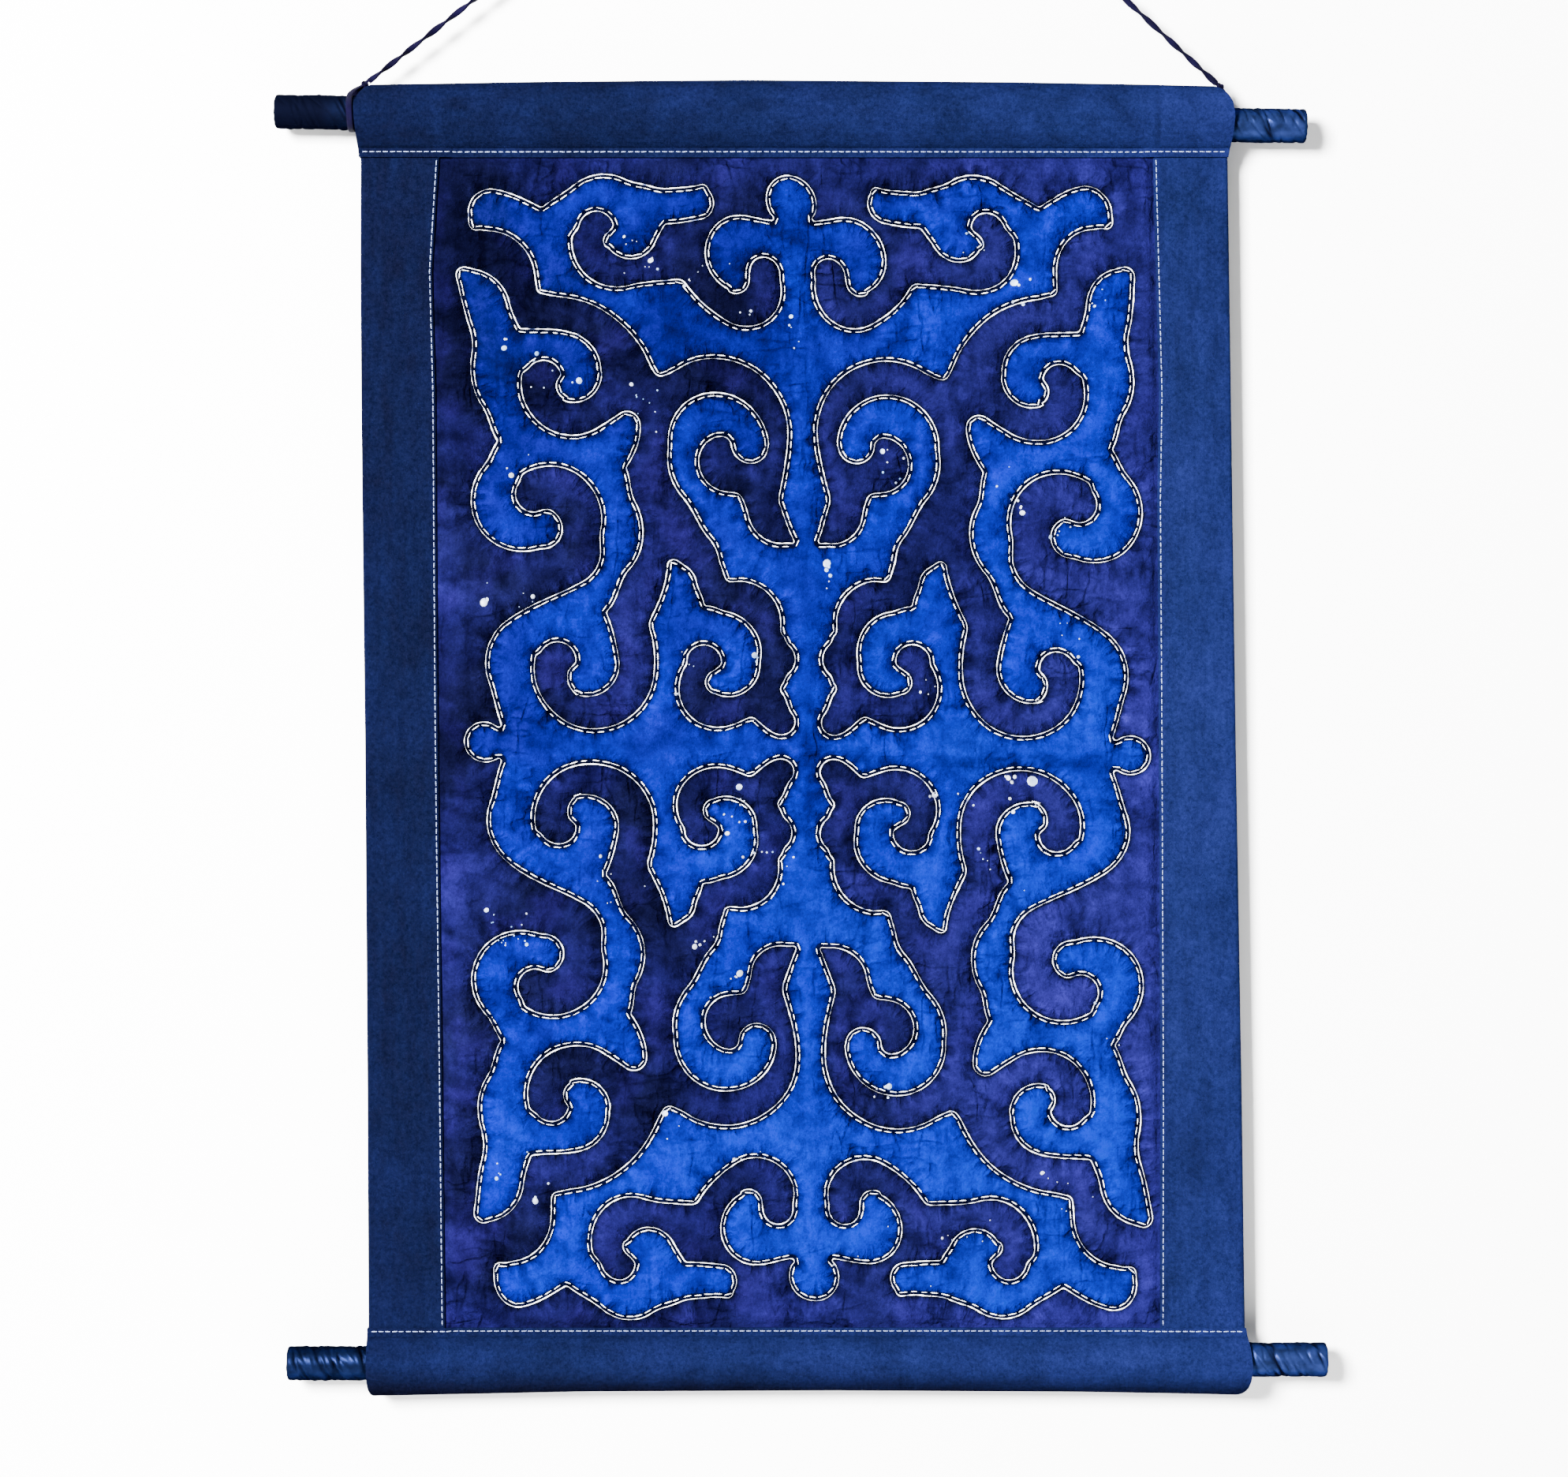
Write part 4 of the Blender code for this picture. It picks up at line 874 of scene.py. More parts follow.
def tie_path(x, knot, lean):
    """A circle round the rod, whose two ends rise by powers to the knot, one behind it and one in front."""
    left_x, left_z, right_x, right_z = TOP_ROD
    centre = np.array((x, 0, left_z + (right_z - left_z) * (x - left_x) / (right_x - left_x)))
    angle = np.radians(np.linspace(-138, 138, 60))
    reach = ROD_RADIUS + GAP + RIBBON_THICK / 2
    ring = centre + reach * np.column_stack((0 * angle, -np.sin(angle), -np.cos(angle)))
    ring[:, 0] += lean * np.sin(angle / 2)
    rise = np.linspace(0, 1, 14)[1:, None]
    easing = np.hstack((rise**2.2, rise, rise))
    behind, front = (end + (np.array(knot) - end) * easing for end in (ring[0], ring[-1]))
    path = np.vstack((behind[::-1], ring, front))
    return path, path - centre + (0, 0, 0.001)


def add_tie(name, x, knot, node_name, tail_to, lean):
    """The ribbon's turn round the rod, its knot, and the short cut end."""
    path, facing = tie_path(x, knot, lean)
    groups = [(*ribbon_rings(path, facing, TIE_WIDTH, RIBBON_THICK), np.linspace(0, 90, len(path)), False)]
    rings, across, t = knot_rings(knot, KNOT_RADIUS, KNOT_RIBBON_WIDTH, 25)
    groups.append((rings, across, t * 4, True))
    share = np.linspace(0, 1, 12)
    stub = np.array(knot) + (np.array(tail_to) - np.array(knot)) * share[:, None]
    stub[:, 2] += 0.6 * np.sin(share * np.pi)
    width = STUB_WIDTH - STUB_TAPER * share
    end = ribbon_rings(stub, np.array((0, -1, 0.3)), width, STUB_THICK, share * 0.9)
    tie = join_ribbons(name, groups + [(*end, share * 6, False)])
    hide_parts(node_name)
    return tie


def add_hanging_loop():
    """A small upright loop of the ribbon above the knot that ties the two legs together."""
    middle = np.array((NAIL[0], 0, NAIL[2] - LOOP_HALF_HEIGHT + 0.5))
    angle = np.radians(np.linspace(-158, 158, 70))
    around = np.column_stack((LOOP_HALF_WIDTH * np.sin(angle), 0.5 * np.sin(angle / 2),
                              LOOP_HALF_HEIGHT * np.cos(angle)))
    rings = ribbon_rings(middle + around, around, LOOP_RIBBON_WIDTH, LOOP_RIBBON_THICK)
    groups = [(*rings, np.linspace(0, 32, len(angle)), False)]
    for place, radius, lean in (((-0.8, -0.5, 0.5), 3.4, 24), ((0.9, 0.6, -0.3), 3.2, -140)):
        rings, across, t = knot_rings(np.array(TOP_KNOT) + place, radius, TOP_KNOT_RIBBON_WIDTH, lean)
        groups.append((rings, across, t * 5, True))
    loop = join_ribbons("ribbon_loop", groups)
    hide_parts("hanging_loop")
    return loop


RIBBON = ribbon_cloth()
nail_loop = add_hanging_loop()
left_knot_tie = add_tie("ribbon_tie_left", LEFT_TIE_X, LEFT_KNOT, "left_tie", (-244.6, -0.6, 379.9), -0.8)
right_knot_tie = add_tie("ribbon_tie_right", RIGHT_TIE_X, RIGHT_KNOT, "right_tie",
                         (238.6, -0.8, 377.2), 0.6)
add_leg("left_ribbon", LEFT_KNOT, 11)
add_leg("right_ribbon", RIGHT_KNOT, 21)


# The figure's line

def arc(row, step):
    """Points along one bend: its circle between its two angles."""
    x, z, radius, start, end = row
    count = max(2, math.ceil(abs(math.radians(end - start)) * radius / step) + 1)
    angle = np.radians(np.linspace(start, end, count))
    return np.column_stack((x + radius * np.cos(angle), z + radius * np.sin(angle)))


def heading(row, angle):
    """The unit direction in which a bend is travelled at one of its angles."""
    turn = 1 if row[4] > row[3] else -1
    return turn * np.array((-math.sin(math.radians(angle)), math.cos(math.radians(angle))))


def link(row, following, step):
    """The cubic from one bend's end to the next one's start, which keeps both directions."""
    first, last = arc(row, step)[-1], arc(following, step)[0]
    chord = np.linalg.norm(last - first)
    t = np.linspace(0, 1, max(2, math.ceil(chord / step)) + 1)[1:-1, None]
    out, into = heading(row, row[4]) * chord, heading(following, following[3]) * chord
    return ((2 * t**3 - 3 * t**2 + 1) * first + (t**3 - 2 * t**2 + t) * out
            + (3 * t**2 - 2 * t**3) * last + (t**3 - t**2) * into)


def drawn_by_hand(points):
    """Lean, tilt and waver the regular figure, and set it in its place on the panel."""
    x, z = points.T
    far = z / FIGURE_REACH
    lean = np.where(z < 0, FOOT_LEAN, CROWN_LEAN) * far**3
    across = WOBBLE * np.sin(z / WAVES_ACROSS[0] + x / WAVES_ACROSS[1])
    upward = WOBBLE * np.sin(x / WAVES_UPWARD[0] - z / WAVES_UPWARD[1] + 1)
    foot = z * (LOWER_HALF + (1 - LOWER_HALF) * far**2) + FOOT_RISE * far**4 * bell(x, FOOT_WIDTH)
    tilted = np.where(z < 0, foot, z) - TILT * x * (1 - far**2) + upward
    return np.column_stack((FIGURE_X + x * (1 - NARROWING * far**2) - lean + across, FIGURE_Z + tilted))


def quilting_line():
    """The whole closed line in even steps: the quarter and its three mirror images, end to end."""
    rows = [row for motif in FIGURE.values() for row in motif]
    runs = [arc(rows[0], 0.5)]
    for row, following in zip(rows, rows[1:]):
        runs += [link(row, following, 0.5), arc(following, 0.5)]
    quarter = np.concatenate(runs)
    back = quarter[::-1]
    sides = (quarter, back * (1, -1), quarter * (-1, -1), back * (-1, 1))
    whole = drawn_by_hand(np.vstack([side[:-1] for side in sides]))
    closed = np.vstack((whole, whole[:1]))
    run = run_of(closed)
    places = np.linspace(0, run[-1], round(run[-1] / LINE_STEP), endpoint=False)
    return walked(closed, run, places), places, run[-1]


LINE, LINE_PLACE, LINE_LENGTH = quilting_line()
LINE_NEXT = np.roll(LINE, -1, axis=0)
LINE_AHEAD = unit(LINE_NEXT - np.roll(LINE, 1, axis=0))
LINE_INWARD = np.column_stack((-LINE_AHEAD[:, 1], LINE_AHEAD[:, 0]))


def from_line(x, z):
    """Signed distance from the line, positive inside the figure, and the place along it, tile by tile."""
    tile, margin = 40, 60
    points = np.column_stack((x.ravel(), z.ravel()))
    distance, along = np.empty(len(points)), np.empty(len(points))
    cell = np.floor(points / tile).astype(int)
    for corner in np.unique(cell, axis=0):
        chosen = np.flatnonzero((cell == corner).all(axis=1))
        low, high = corner * tile - margin, (corner + 1) * tile + margin
        near = np.flatnonzero(((LINE > low) & (LINE < high)).all(axis=1))
        offset = points[chosen, None] - LINE[None, near]
        best = (offset**2).sum(axis=2).argmin(axis=1)
        offset = offset[np.arange(len(chosen)), best]
        ahead, inward = LINE_AHEAD[near[best]], LINE_INWARD[near[best]]
        past = np.maximum(np.abs((offset * ahead).sum(axis=1)) - LINE_STEP / 2, 0)
        aside = (offset * inward).sum(axis=1)
        distance[chosen] = np.where(aside < 0, -1, 1) * np.hypot(aside, past)
        along[chosen] = LINE_PLACE[near[best]]
    return distance.reshape(x.shape), along.reshape(x.shape)


def inside_figure(x, z):
    """Whether each point of a grid is inside the closed line, by the crossings to its left, row by row."""
    inside = np.zeros(x.shape, bool)
    for row, level in enumerate(z[:, 0]):
        crossed = (LINE[:, 1] > level) != (LINE_NEXT[:, 1] > level)
        here, there = LINE[crossed], LINE_NEXT[crossed]
        share = (level - here[:, 1]) / (there[:, 1] - here[:, 1])
        crossings = np.sort(here[:, 0] + share * (there[:, 0] - here[:, 0]))
        inside[row] = np.searchsorted(crossings, x[row]) % 2 == 1
    return inside


def from_bands(x, z):
    """How far each point lies inside the bands' folded edges."""
    return np.minimum(x - column(LEFT_BAND, z, 1), column(RIGHT_BAND, z, 1) - x)


def inside_opening(x, z):
    """How far each point lies inside the covered edges, negative under them."""
    return np.minimum(from_bands(x, z), HEM_Z - np.abs(z)) - COVERED


def pillow(distance):
    """From 0 on the line to 1 away from it: one minus the exponential of minus a power of the distance."""
    return 1 - np.exp(-((np.abs(distance) / PILLOW_REACH) ** PILLOW_ROUNDNESS))


def edging(inside):
    """From 0 at a covered edge to 1 inside it, by the same kind of exponential."""
    return 1 - np.exp(-np.clip(inside, 0, None) / EDGE_REACH)


def pucker(distance, along):
    """Waves along the line of four lengths, strongest near it and other on its two sides."""
    side = np.where(distance < 0, 2.3, 0)
    waves = sum(np.sin(TURN * along / length + side * (index + 1) + index * 1.7)
                for index, length in enumerate(PUCKER_WAVES))
    strength = line_noise(along, 46, 5) * 0.5 + 0.8
    away = np.abs(distance)
    return PUCKER_HEIGHT * strength * waves / 2 * np.exp(-away / PUCKER_REACH) * np.clip(away / 2.5, 0, 1)


def gathers(x, z):
    """Small folds square to the bands and the hems, which fade away from them."""
    upright = soft_noise(x, z, (5.5, 60), 71) + 0.7 * soft_noise(x, z, (11, 80), 72)
    level = soft_noise(z, x, (7, 50), 73) + 0.7 * soft_noise(z, x, (14, 70), 74)
    at_hems = 0.8 * upright * np.exp(-(HEM_Z - np.abs(z)) / HEM_GATHER_REACH)
    return at_hems + 0.65 * level * np.exp(-from_bands(x, z) / BAND_GATHER_REACH)


def creases(x, z):
    """How far the listed folds sink: each a soft trough along its line, fading at both ends."""
    total = np.zeros_like(x)
    for x1, z1, x2, z2, half_width, depth in PANEL_CREASES:
        length = math.hypot(x2 - x1, z2 - z1)
        right, up = (x2 - x1) / length, (z2 - z1) / length
        along = (x - x1) * right + (z - z1) * up
        aside = (z - z1) * right - (x - x1) * up + 1.2 * np.sin(along / 9 + x1)
        past = np.clip(np.maximum(-along, along - length), 0, None)
        total += depth * bell(aside, half_width) * bell(past, 6)
    return total


def folds(x, z, distance, along):
    """The cloth's small ups and downs: wrinkles two ways, gathers at the edges, creases and puckers."""
    level = 0.85 * sharp_noise(x, z + 0.35 * x, (34, 8), 3) + 0.75 * sharp_noise(x, z, (8, 30), 4)
    level += 0.35 * soft_noise(x, z, (6, 6), 8) + gathers(x, z) - creases(x, z)
    return level * (0.3 + 0.7 * pillow(distance)) + pucker(distance, along)


def quilt_height(x, z, distance, along):
    """How far the front stands out: pillows between the lines, and the cloth's small folds on them."""
    return edging(inside_opening(x, z)) * (PILLOW_HEIGHT * pillow(distance) + folds(x, z, distance, along))


def panel_grid(step):
    """The panel's points in rows and columns about a step apart."""
    return np.meshgrid(*(np.linspace(-half, half, round(2 * half / step) + 1)
                         for half in (PANEL_HALF_WIDTH, PANEL_HALF_HEIGHT)))


def pull(distance, along):
    """How strongly the stitches draw on the cloth: less with distance, nothing midway between two rows."""
    jump = np.zeros(along.shape, bool)
    for field, marked in ((along, jump), (along.T, jump.T)):
        step = np.abs(np.diff(field, axis=0)) > LINE_JUMP
        marked[1:] |= step
        marked[:-1] |= step
    wide = jump.copy()
    for field, marked in ((jump, wide), (jump.T, wide.T)):
        marked[1:] |= field[:-1]
        marked[:-1] |= field[1:]
    return np.where(wide, 0, np.exp(-np.abs(distance) / PULL_REACH))


def add_quilt_front():
    """The dyed cloth: its height over the plane of the panel is a function of place."""
    x, z = panel_grid(CLOTH_STEP)
    distance, along = from_line(x, z)
    distance = np.where(inside_figure(x, z), 1, -1) * np.abs(distance)
    front = np.dstack((x, -MARGIN_HALF_THICK - quilt_height(x, z, distance, along), z)).reshape(-1, 3)
    faces, rim = shell_faces(*x.shape, True)
    behind = front[rim] * (1, 0, 1) + (0, 0.1, 0)
    # The numbers also carry painted shade and light into the colour: fold darkens the hollows and lightens
    # the backs, pull sets the pucker streaks, and the patch tables add their painted fold shade.
    numbers = {"from_line": distance, "along_line": along, "pull": pull(distance, along),
               "fold": folds(x, z, distance, along), "tone": tone(front, PANEL_SHADES),
               "ground": tone(front, GROUND_SHADES)}
    numbers = {label: np.append(field.ravel(), field.ravel()[rim]) for label, field in numbers.items()}
    return make_piece("quilt_front", np.vstack((front, behind)), faces, DYED, "batik", **numbers)


def add_quilt_back():
    """The plain cloth behind, drawn in along the same line."""
    x, z = panel_grid(BACK_STEP)
    distance = from_line(x, z)[0]
    swell = pillow(distance) * (BACK_PILLOW + 0.25 * soft_noise(x, z, (30, 14), 6))
    height = swell * edging(np.minimum(PANEL_HALF_WIDTH - np.abs(x), HEM_Z - np.abs(z)))
    back = np.dstack((x, MARGIN_HALF_THICK + height, z)).reshape(-1, 3)
    faces, rim = shell_faces(*x.shape, False)
    points = np.vstack((back, back[rim] * (1, 0, 1) + (0, 0.25, 0)))
    return make_piece("quilt_back", points, faces, NAVY, "batik", tone=np.ones(len(points)))


def sway(place):
    """How far both rows wander together across the edge: three slow waves that close on themselves."""
    turn = TURN * place / LINE_LENGTH
    return 0.14 * np.sin(turn * 83) + 0.12 * np.sin(turn * 137 + 1) + 0.08 * np.sin(turn * 301 + 2)


def add_white_line():
    """A low rounded bead just outside the figure's edge, of uneven width and height."""
    pinch = 0.13 * np.sin(TURN * LINE_PLACE / STITCH_PITCH) * (0.6 + 0.4 * line_noise(LINE_PLACE, 80, 31))
    half = LINE_HALF_WIDTH + pinch + 0.11 * line_noise(LINE_PLACE, 7, 32, 3)
    half = np.maximum(half + 0.10 * line_noise(LINE_PLACE, 31, 33, 7), 0.04)[:, None]
    aside = sway(LINE_PLACE) - ROW_OFFSET + 0.14 * line_noise(LINE_PLACE, 16, 34, 11)
    wide, high = np.array(LINE_SECTION).T
    offset = aside[:, None] + half * wide
    x, z = np.moveaxis(LINE[:, None] + LINE_INWARD[:, None] * offset[..., None], -1, 0)
    ground = quilt_height(x, z, offset, np.broadcast_to(LINE_PLACE[:, None], offset.shape))
    rings = np.dstack((x, -MARGIN_HALF_THICK - ground - 0.12 - high, z))[:, ::-1]
    make_piece("white_line", rings.reshape(-1, 3), tube_faces(*offset.shape, True), WHITE_LINE, "batik")


def stitches(name, centre, ahead, out, length, width, high, finish, slot, rings=6, sides=6):
    """Stitches as short blunt threads: a superellipse along, a circle round, bowed so both ends sink."""
    t = np.cos(np.linspace(np.pi, 0, rings))[:, None] * 0.97
    angle = np.linspace(0, TURN, sides, endpoint=False)
    body = np.sqrt(1 - np.abs(t) ** 3)
    length, width, high = (size[:, None, None] / 2 for size in (length, width, high))
    along = t * length + 0 * angle
    aside = body * np.cos(angle) * width
    lift = (body * np.sin(angle) + 1 - 1.3 * np.abs(t) ** 2.5) * high
    points = sum((way[:, None, None] * reach[..., None] for way, reach in (
        (ahead, along), (np.cross(ahead, out), aside), (out, lift))), centre[:, None, None])
    make_piece(name, points.reshape(-1, 3), tube_faces(rings, sides, count=len(centre)), finish, slot,
               along=along, around=np.broadcast_to(angle, along.shape))


def add_quilting_stitches():
    """The running stitch just inside the figure's edge, each a little off in length, width and place."""
    random = np.random.RandomState(7)
    count = round(LINE_LENGTH / STITCH_PITCH)
    places = (np.arange(count) + 0.5) * LINE_LENGTH / count + random.uniform(-0.25, 0.25, count)
    index = np.round(places / LINE_STEP).astype(int) % len(LINE)
    aside = ROW_OFFSET + sway(places) + random.uniform(-0.12, 0.12, count)
    turn = random.uniform(-0.05, 0.05, count)[:, None]
    x, z = (LINE[index] + LINE_INWARD[index] * aside[:, None]).T
    centre = np.column_stack((x, -MARGIN_HALF_THICK - quilt_height(x, z, aside, places) - 0.1, z))
    ahead = np.insert(unit(LINE_AHEAD[index] + LINE_INWARD[index] * turn), 1, 0, axis=1)
    out = np.tile(FRONT, (count, 1))
    stitches("quilting_stitches", centre, ahead, out, random.uniform(*STITCH_LENGTH, count),
             random.uniform(*STITCH_WIDTH, count), random.uniform(*STITCH_HEIGHT, count), THREAD, "batik")
    index = np.round((places + LINE_LENGTH / count / 2) / LINE_STEP).astype(int) % len(LINE)
    centre = np.insert(LINE[index] + LINE_INWARD[index] * ROW_OFFSET, 1, MARGIN_HALF_THICK + 0.2, axis=1)
    ahead = np.insert(LINE_AHEAD[index], 1, 0, axis=1)
    stitches("quilting_stitches_behind", centre, ahead, -out, random.uniform(*BACK_STITCH_LENGTH, count),
             random.uniform(*BACK_STITCH_WIDTH, count), np.full(count, BACK_STITCH_HEIGHT), THREAD, "batik",
             rings=4, sides=5)


def add_dots():
    """Low domes, flat ellipses on the cloth, in sprays that start with the largest dot."""
    random = np.random.RandomState(23)
    rows = np.array(SPLASHES)
    source = np.repeat(np.arange(len(rows)), np.ceil(rows[:, 5] * 0.6).astype(int))
    share = random.uniform(0, 1, len(source))
    start = np.concatenate(([True], np.diff(source) > 0))
    share[start] = 0
    spray = rows[source]
    scatter = random.normal(0, 1, (len(source), 2)) * spray[:, 4:5] * (0.15 + 1.6 * share[:, None])
    flat = spray[:, 0:2] + spray[:, 2:4] * share[:, None] + scatter
    radius = np.where(start, 1, random.uniform(0.22, 0.62, len(source)) * (1 - 0.35 * share))
    radius = np.maximum(spray[:, 6] * radius, 0.34)
    inside = inside_opening(*flat.T) > 4
    flat, radius = flat[inside], radius[inside]
    angle = np.linspace(0, TURN, 9, endpoint=False)
    level, high = np.array(DOT_SECTION).T[..., None]
    stretch = random.uniform(0.92, 1.12, len(flat))[:, None, None]
    lean = random.uniform(0, np.pi, len(flat))[:, None, None]
    reach = radius[:, None, None] * level
    u, v = reach * np.cos(angle) * stretch, reach * np.sin(angle) / stretch
    x = flat[:, 0, None, None] + u * np.cos(lean) - v * np.sin(lean)
    z = flat[:, 1, None, None] + u * np.sin(lean) + v * np.cos(lean)
    y = -MARGIN_HALF_THICK - quilt_height(x, z, *from_line(x, z)) - 0.16 - high
    make_piece("splashed_dots", np.stack((x, y, z), axis=-1).reshape(-1, 3),
               tube_faces(len(level), len(angle), count=len(flat)), SPLASH, "batik")


DYED = dyed_cotton()
NAVY = brushed_cotton("navy cotton", (1, 1, 0.2))
WHITE_LINE = white_line()
THREAD = thread("quilting thread", THREAD_WHITE, THREAD_PLY_SHADE)
SPLASH = splash_paint()
quilt_front = add_quilt_front()
quilt_back = add_quilt_back()
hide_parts("quilted_panel")
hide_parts("quilted_panel")
add_white_line()
add_quilting_stitches()
add_dots()


# Bands

def band_point(table, side, place, height):
    """A point on a band's front from its place across, -1 to 1, and its height: fold, swell and ripples."""
    rise, swell = column(BAND_SECTION, place, 1), column(BAND_SECTION, place, 2)
    inner, outer = column(table, height, 1), column(table, height, 2)
    step = side * PANEL_HALF_WIDTH
    x = step + np.where(place < 0, step - inner, outer - step) * place
    free = np.clip((HEM_Z - np.abs(height)) / BAND_SWELL_END, 0, 1)
    ripple = 0.75 + 0.25 * np.sin(height / BAND_RIPPLE + side)
    soft = 0.16 * soft_noise(x, height, (16, 44), 41) + 0.10 * soft_noise(x, height, (9, 9), 42)
    stand = BAND_LIP_THICK * rise + (BAND_SWELL * swell * ripple + soft * rise) * free
    return np.stack((x, -(MARGIN_HALF_THICK + GAP) - stand, height + 0 * x), axis=-1)


def add_navy_cloth(name, front, behind, finish):
    """A closed sheet of navy cotton between two grids of points, which stands for the solid of its name."""
    points = np.vstack((front.reshape(-1, 3), behind.reshape(-1, 3)))
    cloth = make_piece(name, points, cloth_faces(*front.shape[:2]), finish, "navy_cotton",
                       tone=tone(points, COTTON_SHADES))
    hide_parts(name)
    return cloth


def add_band(name, table, side):
    """The band as a closed sheet: its front, its flat back, and under the lip an upright step."""
    places = np.concatenate((np.linspace(-1, -0.86, 5), np.linspace(-0.75, 0, 6),
                             np.linspace(0.03, 0.94, 22), (0.965, 0.985, 1)))
    places, heights = np.meshgrid(places, np.linspace(-PANEL_HALF_HEIGHT, PANEL_HALF_HEIGHT, 300))
    front = band_point(table, side, places, heights)
    back = front.copy()
    back[..., 1] = np.where(places > 0, MARGIN_HALF_THICK, -(MARGIN_HALF_THICK + GAP))
    back[places == 1, 1] = BAND_FOLD_Y
    band = add_navy_cloth(name, front[:, ::side], back[:, ::side], NAVY)
    width = np.abs(column(table, 0, 2) - column(table, 0, 1))


add_band("left_band", LEFT_BAND, -1)
add_band("right_band", RIGHT_BAND, 1)


# Sleeves

def sink(x, table):
    """How far the sleeve's walls are drawn in by its soft creases: a bell for each."""
    return sum(depth * bell(x - place, half_width) for place, half_width, depth in table)


def sleeve_point(ends, fold, table, up, inset, along, around):
    """A point on a sleeve from its place along, 0 to 1, and around: front hem 0, fold a half, back hem 1.

    The first tenth of each half is the upright hem. After it the wall is a teardrop: its half-depth goes
    with the turn's sine times a power of the half turn's sine, its height with one minus the turn's cosine.
    """
    half_way = 1 - np.abs(2 * around - 1)
    side = np.where(around < 0.5, -1, 1)
    turn = np.pi * np.clip((half_way - 0.1) / 0.9, 0, 1)
    mouth = (SLEEVE_MOUTH_Z - HEM_Z) / (abs(fold[0][1]) - HEM_Z)
    share = np.where(half_way < 0.1, half_way / 0.1 * mouth, mouth + (1 - mouth) * (1 - np.cos(turn)) / 2)
    peak = np.linspace(0, np.pi, 200)
    deepest = (np.sin(peak) * np.sin(peak / 2) ** BELLY).max()
    depth = np.sin(turn) * np.sin(turn / 2) ** BELLY / deepest
    left, right = column(ends, share, 1), column(ends, share, 2)
    x = left + (right - left) * along
    z = HEM_Z + (column(fold, x, 1) * up - inset - HEM_Z) * share
    over_band = np.interp(np.abs(x), BAND_STEPS[2:], (0, 1))
    clasp = np.where(side < 0, (BAND_LIP_THICK + GAP) * over_band, 0)
    hem = MARGIN_HALF_THICK + GAP + clasp + SLEEVE_THICK - inset
    flare = SLEEVE_FLARE * bell(np.minimum(x - left, right - x), SLEEVE_FLARE_REACH)
    soft = 0.22 * soft_noise(x, z, (15, 40), 51) + 0.12 * soft_noise(x, z * side, (8, 8), 52)
    belly = column(fold, x, 2) + flare - sink(x, table) - inset
    settle = hem * np.cos(turn / 2) ** 2
    return np.stack((x, side * (settle + (belly + soft - settle) * depth), z * up), axis=-1)


def add_sleeve(name, ends, fold, table, up):
    """The sleeve as a closed sheet between its outer face and the same face set in."""
    width = ends[0][2] - ends[0][1]
    steps = (np.array(BAND_STEPS) - ends[0][1]) / width
    along = np.unique(np.concatenate((np.linspace(0, 1, 250), (0.002, 0.005, 0.995, 0.998), steps)))
    half = np.concatenate((np.linspace(0, 0.05, 5)[:-1], 0.05 + 0.45 * np.linspace(0, 1, 20)))
    grid = np.meshgrid(along, np.concatenate((half[:-1], 1 - half[::-1])))
    if up < 0:
        grid = [places.T for places in grid]
    faces = [sleeve_point(ends, fold, table, up, inset, *grid) for inset in (0, SLEEVE_THICK * 0.8)]
    sleeve = add_navy_cloth(name, *faces, NAVY_SLEEVE)


NAVY_SLEEVE = brushed_cotton("navy cotton sleeve", (0.35, 1, 1))
TOP_SLEEVE = (TOP_SLEEVE_ENDS, TOP_FOLD, TOP_CREASES, 1)
BOTTOM_SLEEVE = (BOTTOM_SLEEVE_ENDS, BOTTOM_FOLD, BOTTOM_CREASES, -1)
add_sleeve("top_sleeve", *TOP_SLEEVE)
add_sleeve("bottom_sleeve", *BOTTOM_SLEEVE)


# Topstitching

def add_topstitching():
    """A straight machine stitch along both sleeves' hems and both bands' folded edges."""
    random = np.random.RandomState(17)
    runs = []
    for sleeve, lift in ((TOP_SLEEVE, 3), (BOTTOM_SLEEVE, 2)):
        around = np.full(500, 0.05 * lift / (SLEEVE_MOUTH_Z - HEM_Z))
        runs.append(sleeve_point(*sleeve, 0, np.linspace(0.004, 0.996, 500), around))
    for table, side in ((LEFT_BAND, -1), (RIGHT_BAND, 1)):
        height = np.linspace(-HEM_Z + 1, HEM_Z - 1, 500)
        place = -1 + 1.7 / np.abs(side * PANEL_HALF_WIDTH - column(table, height, 1))
        runs.append(band_point(table, side, place, height))
    centres, aheads = [], []
    for path in runs:
        run = run_of(path)
        count = round(run[-1] / TOPSTITCH_PITCH)
        places = (np.arange(count) + 0.5) * run[-1] / count + random.uniform(-0.2, 0.2, count)
        centres.append(walked(path, run, places))
        ahead = walked(path, run, places + 1) - centres[-1]
        ahead[-1] = ahead[-2]
        aheads.append(unit(ahead))
    centre, ahead = np.vstack(centres), np.vstack(aheads)
    count = len(centre)
    out = unit(np.cross(np.cross(ahead, FRONT), ahead))
    ahead = unit(ahead + np.cross(ahead, out) * random.uniform(-0.06, 0.06, count)[:, None])
    stitches("topstitching", centre - out * 0.05, ahead, out, random.uniform(*TOPSTITCH_LENGTH, count),
             random.uniform(*TOPSTITCH_WIDTH, count), random.uniform(*TOPSTITCH_HEIGHT, count),
             TOP_THREAD, "navy_cotton")


TOP_THREAD = thread("topstitching thread", TOPSTITCH_WHITE, TOPSTITCH_PLY_SHADE)
add_topstitching()


# Rods

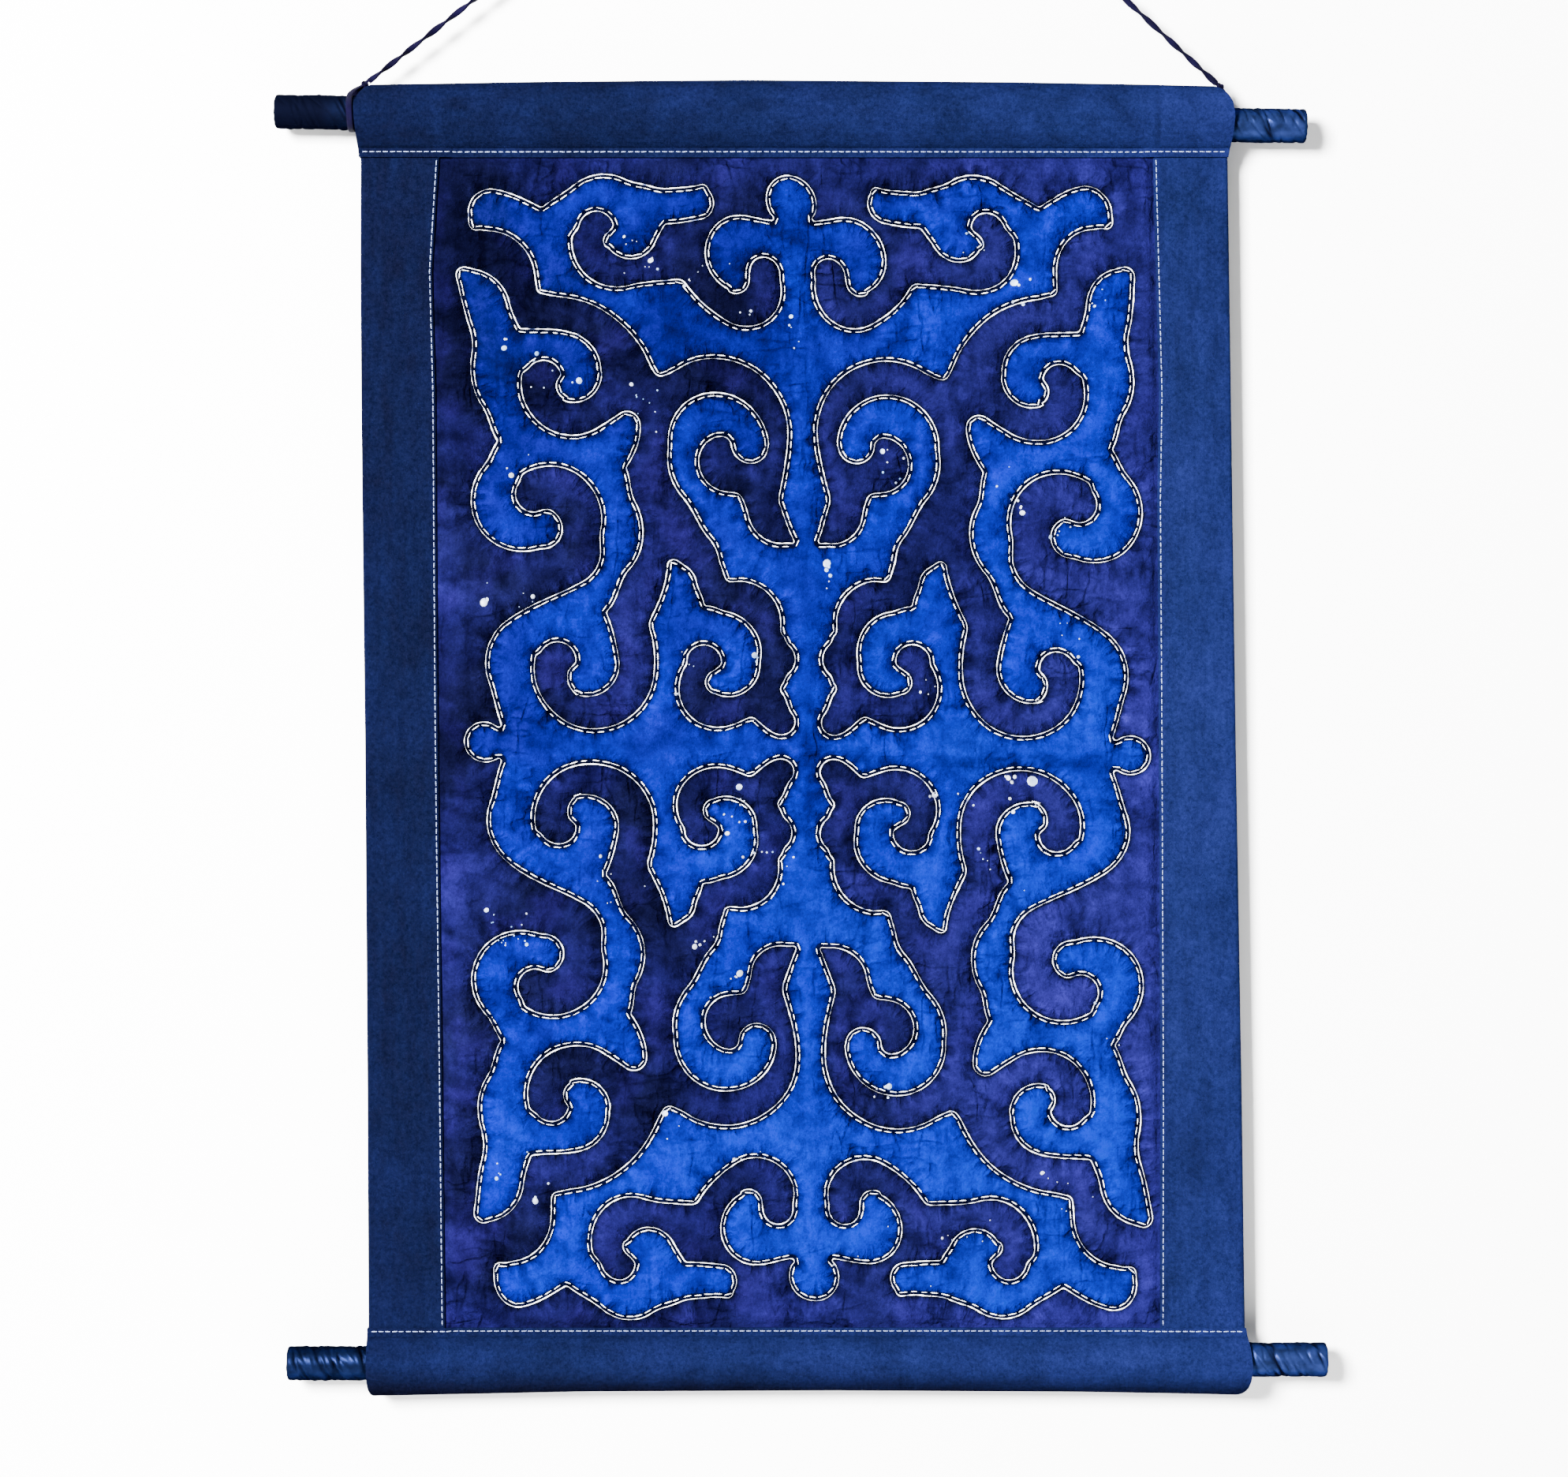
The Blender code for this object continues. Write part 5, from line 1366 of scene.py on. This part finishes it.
def add_rod(name, rod, seed):
    """A rod wound with satin: a cylinder whose radius carries slanting folds, with gathered ends.

    Each fold is a narrow ridge along a slanting line on the unrolled cloth, fading at both its ends.
    """
    random = np.random.RandomState(seed)
    left, right = np.array((rod[0], 0, rod[1])), np.array((rod[2], 0, rod[3]))
    length = np.linalg.norm(right - left)
    ahead = (right - left) / length
    up = np.cross((0, 1, 0), ahead)
    stations = np.concatenate((np.linspace(0, ROD_SHOWN, 84),
                               np.linspace(ROD_SHOWN, length - ROD_SHOWN, 12)[1:-1],
                               np.linspace(length - ROD_SHOWN, length, 84)))
    stations = np.unique(np.clip(stations, ROD_ROUNDING, length - ROD_ROUNDING))
    angle = np.linspace(0, TURN, 104, endpoint=False)
    spoke = (up * np.cos(angle)[:, None] + FRONT * np.sin(angle)[:, None])[None]
    s, turn = np.meshgrid(stations, angle, indexing="ij")
    height = np.zeros_like(s)
    for end in np.repeat((0, length), ROD_FOLDS):
        place = abs(end - random.uniform(3, ROD_SHOWN - 4))
        about = random.uniform(0, TURN)
        slant = -random.normal(*FOLD_SLANT)
        reach, width = random.uniform(*FOLD_REACH), random.uniform(*FOLD_WIDTH)
        tall = random.choice(FOLD_HEIGHTS) * random.uniform(0.5, 1)
        across = ((turn - about + np.pi) % TURN - np.pi) * ROD_RADIUS
        u = (s - place) * math.cos(slant) + across * math.sin(slant)
        v = across * math.cos(slant) - (s - place) * math.sin(slant)
        height += tall * bell(v, width) * np.exp(-((u / reach) ** 4))
    wound = (s / SATIN_TURN + turn / TURN) % 1
    height += 0.35 * np.clip(wound * SATIN_TURN / 3, 0, 1) * np.clip((1 - wound) * 30, 0, 1) - 0.3
    fading = np.clip((ROD_SHOWN - np.minimum(s, length - s)) / 8, 0, 1)
    height = np.clip(height, *ROD_RELIEF) * fading
    radius = ROD_RADIUS - 0.15 + height
    body = left + ahead * s[..., None] + radius[..., None] * spoke
    share = np.array(ROD_END_RINGS)[:, None]
    rounding = ROD_ROUNDING * np.sqrt(1 - ((share - 0.82) / 0.18).clip(0, 1) ** 2)
    gathered = 0.5 * np.sin(angle * 9 + 2 * np.sin(angle * 2 + seed)) * share * (1.1 - share)
    away = (rounding - ROD_ROUNDING + gathered - 0.7 * bell(share, 0.25))[..., None]
    start, end = (centre + ahead * direction * away + (radius[edge] * share)[..., None] * spoke
                  for centre, direction, edge in ((left, -1, 0), (right, 1, -1)))
    rings = np.concatenate((start[::-1], body, end))
    fold = np.pad(height, ((len(share), len(share)), (0, 0)))
    # The rim number paints shade on the satin's top and bottom edges, and the fold number in its hollows.
    piece = make_piece(name, rings.reshape(-1, 3), tube_faces(*fold.shape), SATIN, "navy_satin",
                       fold=fold, rim=np.broadcast_to(np.abs(np.cos(angle)), fold.shape))
    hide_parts(name)


SATIN = satin()
add_rod("top_rod", TOP_ROD, 61)
add_rod("bottom_rod", BOTTOM_ROD, 62)
